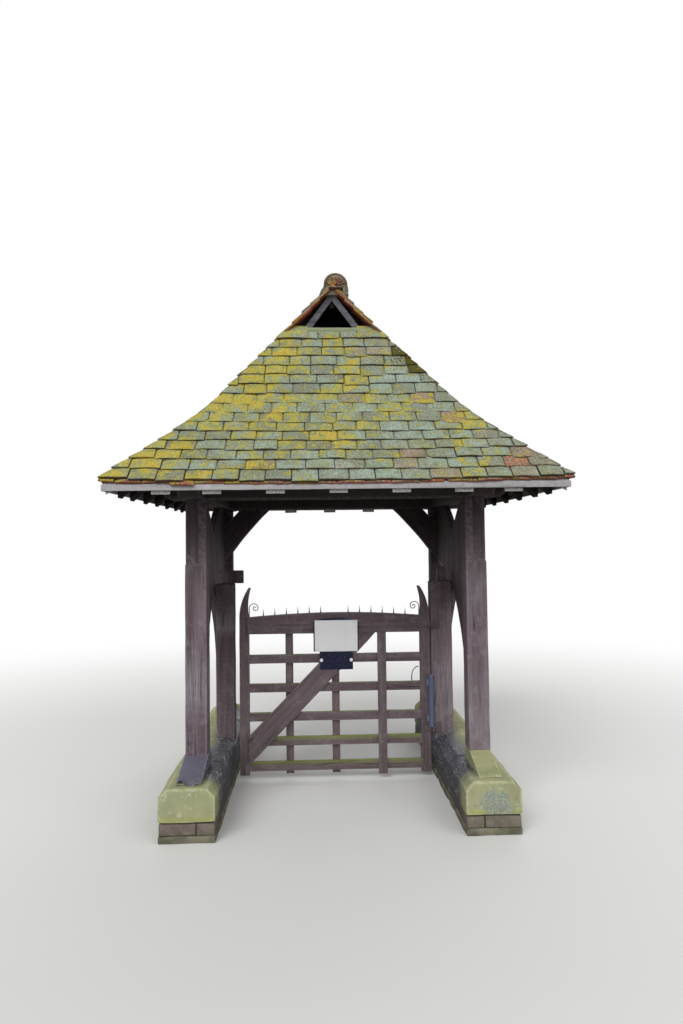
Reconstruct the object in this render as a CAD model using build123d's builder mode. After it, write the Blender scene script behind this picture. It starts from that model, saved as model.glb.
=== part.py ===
"""Lychgate: a small hipped and tiled shelter on low stone plinths, with one side-hung timber gate.

Millimetres. +X is to the right of someone who faces the gate from the road, +Y runs through the
gate, away from the road, and +Z is up. The origin is on the ground under the middle of the roof.
"""

from build123d import *
import math
import os

# Gateway: half the width of the gate, from which plinths, posts and roof are set out
GATE_HALF = 724
GATE_HINGE_GAP = 14
GATE_LATCH_GAP = 41

# Plinths and their copings
PLINTH_CLEARANCE = 31
PLINTH_WIDTH = 345
PLINTH_TOE = 70
PLINTH_HEIGHT = 123
COPING_THICK = 200
COPING_CHAMFER = 50
COPING_END_CHAMFER = 20

# Tall posts on their stools
POST_SIDE = 140
POST_OUTER_FROM_PLINTH = 240
POST_OUTER_Y = 800
STOOL_HEIGHT = 90
STOOL_RUN = 285
STOOL_TOE = 6
POST_REBATE_WIDTH = 88
POST_REBATE_DEPTH = 25
POST_REBATE_FOOT_Z = 1653

# Short gate posts
GATE_POST_SET_IN = 95
GATE_POST_DEPTH = 130
GATE_POST_FRONT_Y = -20
GATE_POST_TOP_Z = 1480
GATE_POST_HEAD_CHAMFER = 8
HEAD_BLOCK_TALL = 98
HEAD_BLOCK_DEPTH = 70
HEAD_BLOCK_SPAN_RIGHT = (67, 130)
HEAD_BLOCK_SPAN_LEFT = (-65, 35)

# Beams on the post heads
BEAM_UNDER_Z = 2075
BEAM_DEPTH = 200
BEAM_OVERHANG = 160
BEAM_NOSE_RADIUS = 90
HALVING_SHARE = 0.5

# Curved braces under the rear tie beam, lapped into the front faces of the rear posts
REAR_BRACE_THICK = 65
REAR_BRACE_TOE_DROP = 510
REAR_BRACE_TOE_SET_IN = 45
REAR_BRACE_TOE_RISE = 35
REAR_BRACE_BACK_DROP = 229
REAR_BRACE_LOWER_REACH = 327
REAR_BRACE_UPPER_REACH = 70
REAR_BRACE_BOW = 20

# Pointed arches in the sides: two curved planks each, which cross at the crown
ARCH_THICK = 50
ARCH_SET_IN = 60
ARCH_FOOT_WIDTH = 150
ARCH_SPRING_RISE = 130
ARCH_BACK_FOOT_DROP = 825
ARCH_BACK_CROWN_DROP = 209
ARCH_BACK_HEAD_REACH = 330

# Roof surface from eave to ridge: two slopes of each side and the steep gablets on top
EAVE_OVERHANG = 395
EAVE_ABOVE_BEAMS = 90
LOWER_RUN = 520
LOWER_RISE = 485
UPPER_RUN = 525
UPPER_RISE = 693
GABLET_RISE = 352
TILE_DEPTH = 38
RAFTER_DEPTH = 55

# Rafters and plates
RAFTER_WIDTH = 110
RAFTER_FROM_GABLET = 27
RAFTER_FROM_CORNER = 355
RAFTER_PLATE_OUT = 5
RAFTER_PLATE_WIDTH = 90
HIP_WIDTH = 50
HIP_DEPTH = 115
EAVES_BOARD_THICK = 20
EAVES_BOARD_UNDER = 69
TILE_OVERHANG = 18

# Gablets and ridge
RIDGE_BOARD_THICK = 34
RIDGE_BOARD_DEPTH = 120
RIDGE_TILE_RADIUS = 88
RIDGE_TILE_RISE = 70
RIDGE_TILE_PROUD = 12
GABLET_SET_BACK = 33
GABLET_BOARD_THICK = 24
GABLET_LINING_THICK = 12
GABLET_BOARD_WIDTH = 42
GABLET_OPENING_HALF = 167
GABLET_OPENING_HEIGHT = 225
GABLET_SILL_THICK = 38
GABLET_SILL_PROUD = 12
COLLAR_DEPTH = 75
COLLAR_THICK = 60

# Gate
GATE_FRONT_Y = -30
GATE_UNDER_Z = 40
STILE_WIDTH = 72
STILE_THICK = 60
HORN_RISE = 223
HORN_SHOULDER = 7
HORN_TIP_WIDTH = 16
HORN_LEAN = 14
TOP_RAIL_UNDER_Z = 1095
TOP_RAIL_END_DEPTH = 127
TOP_RAIL_CAMBER = 29
TOP_RAIL_THICK = 50
RAIL_THICK = 35
RAIL_SPANS_Z = [(874, 939), (657, 721), (440, 504), (257, 322), (70, 139)]
UPRIGHT_THICK = 25
BACK_UPRIGHT_WIDTH = 58
BACK_UPRIGHTS_X = [-348, 4]
FRONT_UPRIGHT_WIDTH = 66
FRONT_UPRIGHT_X = 355
DIAGONAL_WIDTH = 150
DIAGONAL_THICK = 25
DIAGONAL_FOOT_Z = 122
DIAGONAL_ANGLE = 45.4

# Gate ironwork and notice
SPIKE_TALL = 54
SPIKE_RADIUS = 5.5
SPIKE_FACES = 8
SPIKE_TAPER = 5
SPIKE_PITCH = 87.5
SPIKES_EACH_SIDE = 6
SPIKE_FIRST_X = 105
SCROLL_RADIUS = 36
SCROLL_HALF_TURNS = 3
SCROLL_SHRINK = 0.6
SCROLL_BAND = 6
SCROLL_DEPTH = 10
SCROLL_RISE = 70
NOTICE_LEFT = -153
NOTICE_RIGHT = 171
NOTICE_UNDER_Z = 962
NOTICE_TOP_Z = 1197
NOTICE_THICK = 5
BACK_PLATE_MARGIN = 9
BACK_PLATE_CROWN = 18
BACK_PLATE_SHOULDER = 7
BACK_PLATE_FOOT_INSET = 36
BACK_PLATE_FOOT_DROP = 137
BACK_PLATE_THICK = 6

# Hinges and closer tube
HINGE_FROM_POST = 4
HINGE_FORWARD = 18
HINGE_PIN_RADIUS = 6
HINGE_PIN_CLEARANCE = 0.05
KNUCKLE_RADIUS = 12
KNUCKLE_TALL = 38
STRAP_LONG = 66
STRAP_THICK = 8
HINGE_LEVELS_Z = [340, 1130]
PIN_ARM_WIDTH = 12
PIN_ARM_TALL = 16
PIN_PLATE_TALL = 90
PIN_PLATE_WIDTH = 60
PIN_PLATE_THICK = 6
PIN_CLEARANCE_UNDER = 0.3
TUBE_RADIUS = 19
TUBE_LONG = 388
TUBE_ABOVE_HINGE = 6
TUBE_OUT = 1
TUBE_STAND_OFF = 6
TUBE_SADDLE_WIDTH = 30
TUBE_SADDLE_TALL = 40

# Sizes that follow: plinths, posts and beams
PLINTH_INNER = GATE_HALF + PLINTH_CLEARANCE
PLINTH_MIDDLE = PLINTH_INNER + PLINTH_WIDTH / 2
PLINTH_HALF_LENGTH = POST_OUTER_Y + STOOL_RUN + PLINTH_TOE
COPING_TOP_Z = PLINTH_HEIGHT + COPING_THICK
POST_OUTER_X = PLINTH_INNER + POST_OUTER_FROM_PLINTH
POST_MIDDLE_X = POST_OUTER_X - POST_SIDE / 2
POST_MIDDLE_Y = POST_OUTER_Y - POST_SIDE / 2
POST_INNER_X = POST_OUTER_X - POST_SIDE
POST_INNER_Y = POST_OUTER_Y - POST_SIDE
POST_FOOT_Z = COPING_TOP_Z + STOOL_HEIGHT
BEAM_TOP_Z = BEAM_UNDER_Z + BEAM_DEPTH
HALVING_Z = BEAM_UNDER_Z + BEAM_DEPTH * HALVING_SHARE
BEAM_END = POST_OUTER_X + BEAM_OVERHANG
RAFTER_PLATE_INNER = POST_OUTER_X + RAFTER_PLATE_OUT
RAFTER_PLATE_OUTER = RAFTER_PLATE_INNER + RAFTER_PLATE_WIDTH

# Sizes that follow: gate posts and gate
RIGHT_GATE_POST_INNER = GATE_HALF + GATE_HINGE_GAP
LEFT_GATE_POST_INNER = GATE_HALF + GATE_LATCH_GAP
GATE_POST_OUTER = POST_OUTER_X - GATE_POST_SET_IN
GATE_BACK_Y = GATE_FRONT_Y + STILE_THICK
STILE_INNER = GATE_HALF - STILE_WIDTH
TOP_RAIL_END_Z = TOP_RAIL_UNDER_Z + TOP_RAIL_END_DEPTH
TOP_RAIL_MIDDLE_Z = TOP_RAIL_END_Z + TOP_RAIL_CAMBER
HORN_TOP_Z = TOP_RAIL_END_Z + HORN_RISE
HORN_BASE_Z = TOP_RAIL_END_Z - HORN_SHOULDER
OVERLAY_Y = GATE_FRONT_Y - DIAGONAL_THICK
HINGE_X = RIGHT_GATE_POST_INNER + HINGE_FROM_POST
HINGE_Y = GATE_FRONT_Y - HINGE_FORWARD
TUBE_MIDDLE_X = GATE_HALF + TUBE_OUT

# Sizes that follow: roof, as half-widths from the middle and heights
EAVE_HALF = POST_OUTER_X + EAVE_OVERHANG
BREAK_HALF = EAVE_HALF - LOWER_RUN
GABLET_HALF = BREAK_HALF - UPPER_RUN
EAVE_Z = BEAM_UNDER_Z + EAVE_ABOVE_BEAMS
BREAK_Z = EAVE_Z + LOWER_RISE
GABLET_Z = BREAK_Z + UPPER_RISE
RIDGE_Z = GABLET_Z + GABLET_RISE
RIDGE_TILE_TOP_Z = RIDGE_Z + RIDGE_TILE_RISE
RAFTER_LAST = EAVE_HALF - RAFTER_FROM_CORNER
EAVES_BOARD_FACE = EAVE_HALF - TILE_OVERHANG
EAVES_BOARD_BACK = EAVES_BOARD_FACE - EAVES_BOARD_THICK
EAVES_BOARD_UNDER_Z = EAVE_Z - EAVES_BOARD_UNDER
GABLET_FACE = GABLET_HALF - GABLET_SET_BACK
GABLET_BOARD_BACK = GABLET_FACE - GABLET_BOARD_THICK
RAFTER_SPACING = GABLET_BOARD_BACK + RAFTER_FROM_GABLET + RAFTER_WIDTH / 2
COLLAR_TOP_Z = GABLET_Z + GABLET_SILL_PROUD - GABLET_SILL_THICK
COLLAR_BACK = GABLET_BOARD_BACK - COLLAR_THICK
BEYOND = 200

ROOF_LINE = [
    (EAVE_HALF, EAVE_Z),
    (BREAK_HALF, BREAK_Z),
    (GABLET_HALF, GABLET_Z),
    (0, RIDGE_Z),
]


def line_below(depth):
    """Roof line moved squarely inwards by depth, as corner points from below the eave to the middle."""
    runs = []
    for (r_low, z_low), (r_high, z_high) in zip(ROOF_LINE, ROOF_LINE[1:]):
        slope = (z_high - z_low) / (r_low - r_high)
        drop = depth * math.sqrt(1 + slope * slope)
        runs.append((slope, z_low + slope * r_low - drop))
    slope, height = runs[0]
    points = [(EAVE_HALF + BEYOND, height - slope * (EAVE_HALF + BEYOND))]
    for (slope_a, height_a), (slope_b, height_b) in zip(runs, runs[1:]):
        r = (height_b - height_a) / (slope_b - slope_a)
        points.append((r, height_a - slope_a * r))
    points.append((0, runs[-1][1]))
    return points


def height_below(depth, r):
    """Height of the roof line moved inwards by depth, at half-width r."""
    points = line_below(depth)
    for (r_low, z_low), (r_high, z_high) in zip(points, points[1:]):
        if r >= r_high:
            return z_low + (z_high - z_low) * (r_low - r) / (r_low - r_high)
    return points[-1][1]


def band(outer_depth, inner_depth, r_from, r_to):
    """Outline of the layer between two depths under the roof surface, from r_from in to r_to."""
    upper = [(r, z) for r, z in line_below(outer_depth) if r_to < r < r_from]
    lower = [(r, z) for r, z in line_below(inner_depth) if r_to < r < r_from]
    start = [(r_from, height_below(outer_depth, r_from))]
    middle = [(r_to, height_below(outer_depth, r_to)), (r_to, height_below(inner_depth, r_to))]
    finish = [(r_from, height_below(inner_depth, r_from))]
    return start + upper + middle + lower[::-1] + finish


def under_roof(depth):
    """Solid of everything that lies more than depth below the hipped roof surface."""
    points = line_below(depth)
    floor_z = points[0][1]
    whole = points + [(-r, z) for r, z in points[-2::-1]]
    with BuildPart() as inside:
        with BuildSketch(Plane.XZ):
            Polygon(*whole, align=None)
        extrude(amount=EAVE_HALF + BEYOND, both=True)
        with BuildSketch(Plane.YZ):
            Polygon(*whole, align=None)
        extrude(amount=EAVE_HALF + BEYOND, both=True, mode=Mode.INTERSECT)
    return inside.part


def block(x_span, y_span, z_span):
    """Squared timber or stone between three pairs of limits."""
    with BuildPart() as piece:
        with BuildSketch(Plane.XY.offset(z_span[0])):
            with Locations(((x_span[0] + x_span[1]) / 2, (y_span[0] + y_span[1]) / 2)):
                Rectangle(x_span[1] - x_span[0], y_span[1] - y_span[0])
        extrude(amount=z_span[1] - z_span[0])
    return piece.part


def bowed(start, end, bow):
    """Arc from start to end whose middle stands bow to the left of the straight line."""
    middle_x = (start[0] + end[0]) / 2
    middle_y = (start[1] + end[1]) / 2
    length = math.dist(start, end)
    across_x = -(end[1] - start[1]) / length
    across_y = (end[0] - start[0]) / length
    return ThreePointArc(start, (middle_x + bow * across_x, middle_y + bow * across_y), end)


def write(piece, name):
    """Labels a finished piece and writes it as one STEP file."""
    piece.label = name
    export_step(piece, f"parts/{name}.step")


os.makedirs("parts", exist_ok=True)

# Plinth walls: brick footing, one solid run each side

with BuildPart() as plinth_right:
    with BuildSketch():
        with Locations((PLINTH_MIDDLE, 0)):
            Rectangle(PLINTH_WIDTH, 2 * PLINTH_HALF_LENGTH)
    extrude(amount=PLINTH_HEIGHT)
write(plinth_right.part, "plinth_right")

with BuildPart() as plinth_left:
    mirror(plinth_right.part, about=Plane.YZ)
write(plinth_left.part, "plinth_left")

# Coping: one broad stone run with chamfered shoulders

with BuildPart() as coping_right:
    with BuildSketch(Plane.XY.offset(PLINTH_HEIGHT)):
        with Locations((PLINTH_MIDDLE, 0)):
            Rectangle(PLINTH_WIDTH, 2 * PLINTH_HALF_LENGTH)
    extrude(amount=COPING_THICK)
    top_edges = coping_right.faces().sort_by(Axis.Z)[-1].edges()
    chamfer(top_edges.filter_by(Axis.Y), COPING_CHAMFER)
    end_edges = coping_right.faces().sort_by(Axis.Z)[-1].edges().filter_by(Axis.X)
    chamfer(end_edges, COPING_END_CHAMFER)
write(coping_right.part, "coping_right")

with BuildPart() as coping_left:
    mirror(coping_right.part, about=Plane.YZ)
write(coping_left.part, "coping_left")

# Stools: a level seat under each tall post, then a long weathered slope down to the coping

with BuildPart() as stools_right:
    with BuildSketch(Plane.YZ.offset(POST_INNER_X)):
        with BuildLine():
            Polyline(
                (-POST_INNER_Y, COPING_TOP_Z),
                (-POST_INNER_Y, POST_FOOT_Z),
                (-POST_OUTER_Y, POST_FOOT_Z),
                (-POST_OUTER_Y - STOOL_RUN, COPING_TOP_Z + STOOL_TOE),
                (-POST_OUTER_Y - STOOL_RUN, COPING_TOP_Z),
                close=True,
            )
        make_face()
    extrude(amount=POST_SIDE)
    mirror(about=Plane.XZ)
write(stools_right.part, "stools_right")

with BuildPart() as stools_left:
    mirror(stools_right.part, about=Plane.YZ)
write(stools_left.part, "stools_left")

# Tall posts: squared timbers, the front pair rebated on the outer front corner

with BuildPart() as post_front_right:
    with BuildSketch(Plane.XY.offset(POST_FOOT_Z)):
        with Locations((POST_MIDDLE_X, -POST_MIDDLE_Y)):
            Rectangle(POST_SIDE, POST_SIDE)
    extrude(amount=BEAM_UNDER_Z - POST_FOOT_Z)
    with BuildSketch(Plane.XY.offset(POST_REBATE_FOOT_Z)):
        with Locations((POST_OUTER_X, -POST_OUTER_Y)):
            Rectangle(POST_REBATE_WIDTH, POST_REBATE_DEPTH, align=(Align.MAX, Align.MIN))
    extrude(amount=BEAM_UNDER_Z - POST_REBATE_FOOT_Z, mode=Mode.SUBTRACT)
write(post_front_right.part, "post_front_right")

with BuildPart() as post_front_left:
    mirror(post_front_right.part, about=Plane.YZ)
write(post_front_left.part, "post_front_left")

# Rear braces: curved planks under the rear tie beam, and the rear posts housed out for them

with BuildPart() as tie_braces_rear:
    with BuildSketch(Plane.XZ.offset(-POST_INNER_Y - REAR_BRACE_THICK)):
        with BuildLine():
            toe = (POST_OUTER_X - REAR_BRACE_TOE_SET_IN, BEAM_UNDER_Z - REAR_BRACE_TOE_DROP)
            toe_outer = (POST_OUTER_X, BEAM_UNDER_Z - REAR_BRACE_TOE_DROP + REAR_BRACE_TOE_RISE)
            back = (POST_OUTER_X, BEAM_UNDER_Z - REAR_BRACE_BACK_DROP)
            upper_head = (POST_INNER_X - REAR_BRACE_UPPER_REACH, BEAM_UNDER_Z)
            lower_head = (POST_INNER_X - REAR_BRACE_LOWER_REACH, BEAM_UNDER_Z)
            Polyline(toe, toe_outer, back, upper_head, lower_head)
            bowed(lower_head, toe, REAR_BRACE_BOW)
        make_face()
    extrude(amount=REAR_BRACE_THICK)
    mirror(about=Plane.YZ)
write(tie_braces_rear.part, "tie_braces_rear")

with BuildPart() as post_rear_right:
    with BuildSketch(Plane.XY.offset(POST_FOOT_Z)):
        with Locations((POST_MIDDLE_X, POST_MIDDLE_Y)):
            Rectangle(POST_SIDE, POST_SIDE)
    extrude(amount=BEAM_UNDER_Z - POST_FOOT_Z)
    add(tie_braces_rear.part, mode=Mode.SUBTRACT)
write(post_rear_right.part, "post_rear_right")

with BuildPart() as post_rear_left:
    mirror(post_rear_right.part, about=Plane.YZ)
write(post_rear_left.part, "post_rear_left")


# Gate posts: short timbers at mid-depth whose feet are scribed over the chamfer of the coping


def gate_post(inner_x, outer_x, head_block_x, coping):
    """One short post between two sides in x, with a small block on its head, scribed over a coping."""
    back_y = GATE_POST_FRONT_Y + GATE_POST_DEPTH
    with BuildPart() as post:
        foot_z = COPING_TOP_Z - COPING_CHAMFER
        add(block(sorted((inner_x, outer_x)), (GATE_POST_FRONT_Y, back_y), (foot_z, GATE_POST_TOP_Z)))
        chamfer(post.faces().sort_by(Axis.Z)[-1].edges(), GATE_POST_HEAD_CHAMFER)
        head_span_y = (back_y - GATE_POST_HEAD_CHAMFER - HEAD_BLOCK_DEPTH, back_y - GATE_POST_HEAD_CHAMFER)
        add(block(sorted(head_block_x), head_span_y, (GATE_POST_TOP_Z, GATE_POST_TOP_Z + HEAD_BLOCK_TALL)))
        add(coping, mode=Mode.SUBTRACT)
    return post.part


gate_post_right = gate_post(
    RIGHT_GATE_POST_INNER,
    GATE_POST_OUTER,
    [RIGHT_GATE_POST_INNER + x for x in HEAD_BLOCK_SPAN_RIGHT],
    coping_right.part,
)
write(gate_post_right, "gate_post_right")
gate_post_left = gate_post(
    -LEFT_GATE_POST_INNER,
    -GATE_POST_OUTER,
    [-LEFT_GATE_POST_INNER - x for x in HEAD_BLOCK_SPAN_LEFT],
    coping_left.part,
)
write(gate_post_left, "gate_post_left")

below_rafters = under_roof(TILE_DEPTH + RAFTER_DEPTH)

# Tie beams: across the gateway, halved over the wall plates, with rounded noses outside the posts

with BuildPart() as tie_beam_front:
    with BuildSketch(Plane.XZ.offset(POST_INNER_Y)):
        with Locations((0, BEAM_UNDER_Z + BEAM_DEPTH / 2)):
            nose = Rectangle(2 * BEAM_END, BEAM_DEPTH)
        fillet(nose.vertices().group_by(Axis.Y)[0], BEAM_NOSE_RADIUS)
    extrude(amount=POST_SIDE)
    with BuildSketch(Plane.XY.offset(BEAM_UNDER_Z)):
        with Locations((POST_MIDDLE_X, -POST_MIDDLE_Y), (-POST_MIDDLE_X, -POST_MIDDLE_Y)):
            Rectangle(POST_SIDE, POST_SIDE)
    extrude(amount=HALVING_Z - BEAM_UNDER_Z, mode=Mode.SUBTRACT)
    add(below_rafters, mode=Mode.INTERSECT)
write(tie_beam_front.part, "tie_beam_front")

with BuildPart() as tie_beam_rear:
    mirror(tie_beam_front.part, about=Plane.XZ)
write(tie_beam_rear.part, "tie_beam_rear")

# Wall plates: along each side over the posts, running out to carry the front and rear rafter plates

with BuildPart() as wall_plate_right:
    with BuildSketch(Plane.YZ.offset(POST_INNER_X)):
        with Locations((0, BEAM_UNDER_Z + BEAM_DEPTH / 2)):
            plate_side = Rectangle(2 * RAFTER_PLATE_OUTER, BEAM_DEPTH)
        fillet(plate_side.vertices().group_by(Axis.Y)[0], BEAM_NOSE_RADIUS)
    extrude(amount=POST_SIDE)
    with BuildSketch(Plane.XY.offset(HALVING_Z)):
        with Locations((POST_MIDDLE_X, POST_MIDDLE_Y), (POST_MIDDLE_X, -POST_MIDDLE_Y)):
            Rectangle(POST_SIDE, POST_SIDE)
    extrude(amount=BEAM_TOP_Z - HALVING_Z, mode=Mode.SUBTRACT)
write(wall_plate_right.part, "wall_plate_right")

with BuildPart() as wall_plate_left:
    mirror(wall_plate_right.part, about=Plane.YZ)
write(wall_plate_left.part, "wall_plate_left")

# Side arches: a curved plank springs from each post and runs on, past the crown, to the far post

with BuildPart() as arch_braces_right:
    arch_radius = 2 * POST_INNER_Y - ARCH_FOOT_WIDTH
    spring_z = COPING_TOP_Z + ARCH_SPRING_RISE
    foot_inner_y = ARCH_FOOT_WIDTH - POST_INNER_Y
    back_foot = (-POST_INNER_Y, BEAM_UNDER_Z - ARCH_BACK_FOOT_DROP)
    back_crown = (0, BEAM_UNDER_Z - ARCH_BACK_CROWN_DROP)
    back_head = (ARCH_BACK_HEAD_REACH, BEAM_UNDER_Z)
    with BuildSketch(Plane.YZ.offset(POST_INNER_X + ARCH_SET_IN)):
        with BuildLine():
            Line((foot_inner_y, COPING_TOP_Z), (foot_inner_y, spring_z))
            TangentArc((foot_inner_y, spring_z), (POST_INNER_Y, spring_z + arch_radius), tangent=(0, 1))
            Polyline((POST_INNER_Y, spring_z + arch_radius), (POST_INNER_Y, BEAM_UNDER_Z), back_head)
            ThreePointArc(back_head, back_crown, back_foot)
            Polyline(back_foot, (-POST_INNER_Y, COPING_TOP_Z), (foot_inner_y, COPING_TOP_Z))
        make_face()
    extrude(amount=ARCH_THICK)
    mirror(about=Plane.XZ)
write(arch_braces_right.part, "arch_braces_right")

with BuildPart() as arch_braces_left:
    mirror(arch_braces_right.part, about=Plane.YZ)
write(arch_braces_left.part, "arch_braces_left")

# Rafter plates: backed to the slope, carried on the ends of the tie beams and wall plates

with BuildPart() as rafter_plates_sides:
    with BuildSketch(Plane.XZ):
        Polygon(
            (RAFTER_PLATE_INNER, BEAM_TOP_Z),
            (RAFTER_PLATE_OUTER, BEAM_TOP_Z),
            (RAFTER_PLATE_OUTER, height_below(TILE_DEPTH + RAFTER_DEPTH, RAFTER_PLATE_OUTER)),
            (RAFTER_PLATE_INNER, height_below(TILE_DEPTH + RAFTER_DEPTH, RAFTER_PLATE_INNER)),
            align=None,
        )
    extrude(amount=RAFTER_PLATE_OUTER, both=True)
    with BuildSketch(Plane.XY.offset(BEAM_TOP_Z)):
        Polygon(
            (0, 0),
            (RAFTER_PLATE_OUTER, -RAFTER_PLATE_OUTER),
            (RAFTER_PLATE_OUTER, RAFTER_PLATE_OUTER),
            align=None,
        )
    extrude(amount=BEAM_DEPTH, mode=Mode.INTERSECT)
    mirror(about=Plane.YZ)
write(rafter_plates_sides.part, "rafter_plates_sides")

with BuildPart() as rafter_plates_ends:
    add(rafter_plates_sides.part, rotation=(0, 0, 90))
write(rafter_plates_ends.part, "rafter_plates_ends")

# Hip rafters: on the diagonals, backed to both slopes, from the eave corners up to the collars

DIAGONAL = math.sqrt(2)
below_tiles = under_roof(TILE_DEPTH)
above_collars = block(
    (-EAVE_HALF, EAVE_HALF), (-GABLET_HALF, GABLET_HALF), (COLLAR_TOP_Z, RIDGE_TILE_TOP_Z)
)


def hip_rafter(quarter):
    """One hip rafter, deep inside the rafter plates and thin outside them, turned by quarters."""
    diagonal = Plane(origin=(0, 0, 0), x_dir=(1, 1, 0), z_dir=(1, -1, 0)).rotated((0, 0, 90 * quarter))
    deep = band(TILE_DEPTH, TILE_DEPTH + HIP_DEPTH, RAFTER_PLATE_INNER - HIP_WIDTH, GABLET_BOARD_BACK)
    thin = band(TILE_DEPTH, TILE_DEPTH + RAFTER_DEPTH, EAVE_HALF, RAFTER_PLATE_INNER - HIP_WIDTH)
    with BuildPart() as hip:
        with BuildSketch(diagonal):
            Polygon(*[(r * DIAGONAL, z) for r, z in deep], align=None)
            Polygon(*[(r * DIAGONAL, z) for r, z in thin], align=None)
        extrude(amount=HIP_WIDTH / 2, both=True)
        add(below_tiles, mode=Mode.INTERSECT)
        with BuildSketch(Plane.XY.offset(BEAM_UNDER_Z - BEYOND)):
            Rectangle(2 * EAVES_BOARD_BACK, 2 * EAVES_BOARD_BACK)
            Rectangle(2 * EAVES_BOARD_BACK, 2 * GABLET_BOARD_BACK, mode=Mode.SUBTRACT)
        extrude(amount=RIDGE_Z, mode=Mode.INTERSECT)
        add(above_collars, mode=Mode.SUBTRACT)
    return hip.part


with BuildPart() as hip_rafters:
    for quarter in range(4):
        add(hip_rafter(quarter))
write(hip_rafters.part, "hip_rafters")

# Space under the tiles of the two side slopes, which run up to the ridge between the verges

with BuildPart() as side_slopes_space:
    with BuildSketch(Plane.XZ):
        side_points = line_below(TILE_DEPTH)
        Polygon(*(side_points + [(-r, z) for r, z in side_points[-2::-1]]), align=None)
    extrude(amount=EAVE_HALF, both=True)
below_side_tiles = side_slopes_space.part

# Ridge board between the gablets

with BuildPart() as ridge_board:
    ridge_under_tiles_z = line_below(TILE_DEPTH)[-1][1]
    with BuildSketch(Plane.XY.offset(ridge_under_tiles_z - RIDGE_BOARD_DEPTH)):
        Rectangle(RIDGE_BOARD_THICK, 2 * GABLET_BOARD_BACK)
    extrude(amount=RIDGE_BOARD_DEPTH)
    add(below_side_tiles, mode=Mode.INTERSECT)
write(ridge_board.part, "ridge_board")

# Gablets: a sill on the head of the end slope, two slanted boards that leave a small opening, and a
# lining that closes the roof space behind the collar


def gablet_boards():
    """Front gablet: the sill, the pair of boards that stand on it and meet at the top, and the lining."""
    board_slope = GABLET_OPENING_HEIGHT / GABLET_OPENING_HALF
    board_rise = GABLET_BOARD_WIDTH * math.sqrt(1 + board_slope * board_slope)
    board_foot = GABLET_OPENING_HALF + board_rise / board_slope
    opening_top_z = GABLET_Z + GABLET_OPENING_HEIGHT
    with BuildPart() as gablet:
        with BuildSketch(Plane.XZ.offset(GABLET_BOARD_BACK)):
            with Locations((0, GABLET_Z + GABLET_SILL_PROUD)):
                Rectangle(2 * GABLET_HALF, GABLET_SILL_THICK, align=(Align.CENTER, Align.MAX))
        extrude(amount=GABLET_HALF - GABLET_BOARD_BACK)
        with BuildSketch(Plane.XZ.offset(GABLET_BOARD_BACK)):
            Polygon(
                (board_foot, GABLET_Z),
                (0, opening_top_z + board_rise),
                (-board_foot, GABLET_Z),
                (-GABLET_OPENING_HALF, GABLET_Z),
                (0, opening_top_z),
                (GABLET_OPENING_HALF, GABLET_Z),
                align=None,
            )
        extrude(amount=GABLET_BOARD_THICK)
        lining_span_y = (-COLLAR_BACK, GABLET_LINING_THICK - COLLAR_BACK)
        lining_span_z = (COLLAR_TOP_Z - COLLAR_DEPTH, RIDGE_Z)
        add(block((-GABLET_HALF, GABLET_HALF), lining_span_y, lining_span_z))
        add(below_side_tiles, mode=Mode.INTERSECT)
        add(ridge_board.part, mode=Mode.SUBTRACT)
    return gablet.part


with BuildPart() as gablet_front:
    add(gablet_boards())
write(gablet_front.part, "gablet_front")

with BuildPart() as gablet_rear:
    mirror(gablet_front.part, about=Plane.XZ)
write(gablet_rear.part, "gablet_rear")

# Collars: under each gablet, where the hips and the middle end rafter lean, with a short rafter pair on top

with BuildPart() as collars:
    with BuildSketch(Plane.XY.offset(COLLAR_TOP_Z - COLLAR_DEPTH)):
        with Locations((0, GABLET_BOARD_BACK - COLLAR_THICK / 2)):
            Rectangle(2 * GABLET_HALF, COLLAR_THICK)
    extrude(amount=COLLAR_DEPTH)
    add(below_side_tiles, mode=Mode.INTERSECT)
    with BuildSketch(Plane.XZ.offset(-COLLAR_BACK)):
        half_outline = band(TILE_DEPTH, TILE_DEPTH + RAFTER_DEPTH, GABLET_HALF, RIDGE_BOARD_THICK / 2)
        Polygon(*half_outline, align=None)
        Polygon(*[(-r, z) for r, z in half_outline], align=None)
        with Locations((0, COLLAR_TOP_Z)):
            Rectangle(2 * GABLET_HALF, COLLAR_TOP_Z, align=(Align.CENTER, Align.MAX), mode=Mode.SUBTRACT)
    extrude(amount=-COLLAR_THICK)
    mirror(about=Plane.XZ)
write(collars.part, "collars")

# Rafters: laid flat, thin and wide, from the eaves boards up to the hips, collars and ridge

RAFTER_PLACES = [-RAFTER_LAST] + [RAFTER_SPACING * n for n in range(-2, 3)] + [RAFTER_LAST]


def rafters(top_r):
    """Rafters of the right slope, with the middle one running in as far as top_r."""
    outline = band(TILE_DEPTH, TILE_DEPTH + RAFTER_DEPTH, EAVES_BOARD_BACK, top_r)
    clear = HIP_WIDTH / 2 * DIAGONAL
    far = EAVE_HALF + BEYOND
    with BuildPart() as slope_rafters:
        for place in RAFTER_PLACES:
            with BuildSketch(Plane.XZ.offset(-place)):
                Polygon(*outline, align=None)
            extrude(amount=RAFTER_WIDTH / 2, both=True)
        with BuildSketch(Plane.XY):
            Polygon((clear, 0), (far, far - clear), (far, clear - far), align=None)
            with Locations((0, 0)):
                Rectangle(RAFTER_SPACING, RAFTER_WIDTH, align=(Align.MIN, Align.CENTER))
        extrude(amount=RIDGE_Z, mode=Mode.INTERSECT)
    return slope_rafters.part


with BuildPart() as rafters_right:
    add(rafters(RIDGE_BOARD_THICK / 2))
write(rafters_right.part, "rafters_right")

with BuildPart() as rafters_left:
    mirror(rafters_right.part, about=Plane.YZ)
write(rafters_left.part, "rafters_left")

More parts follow.
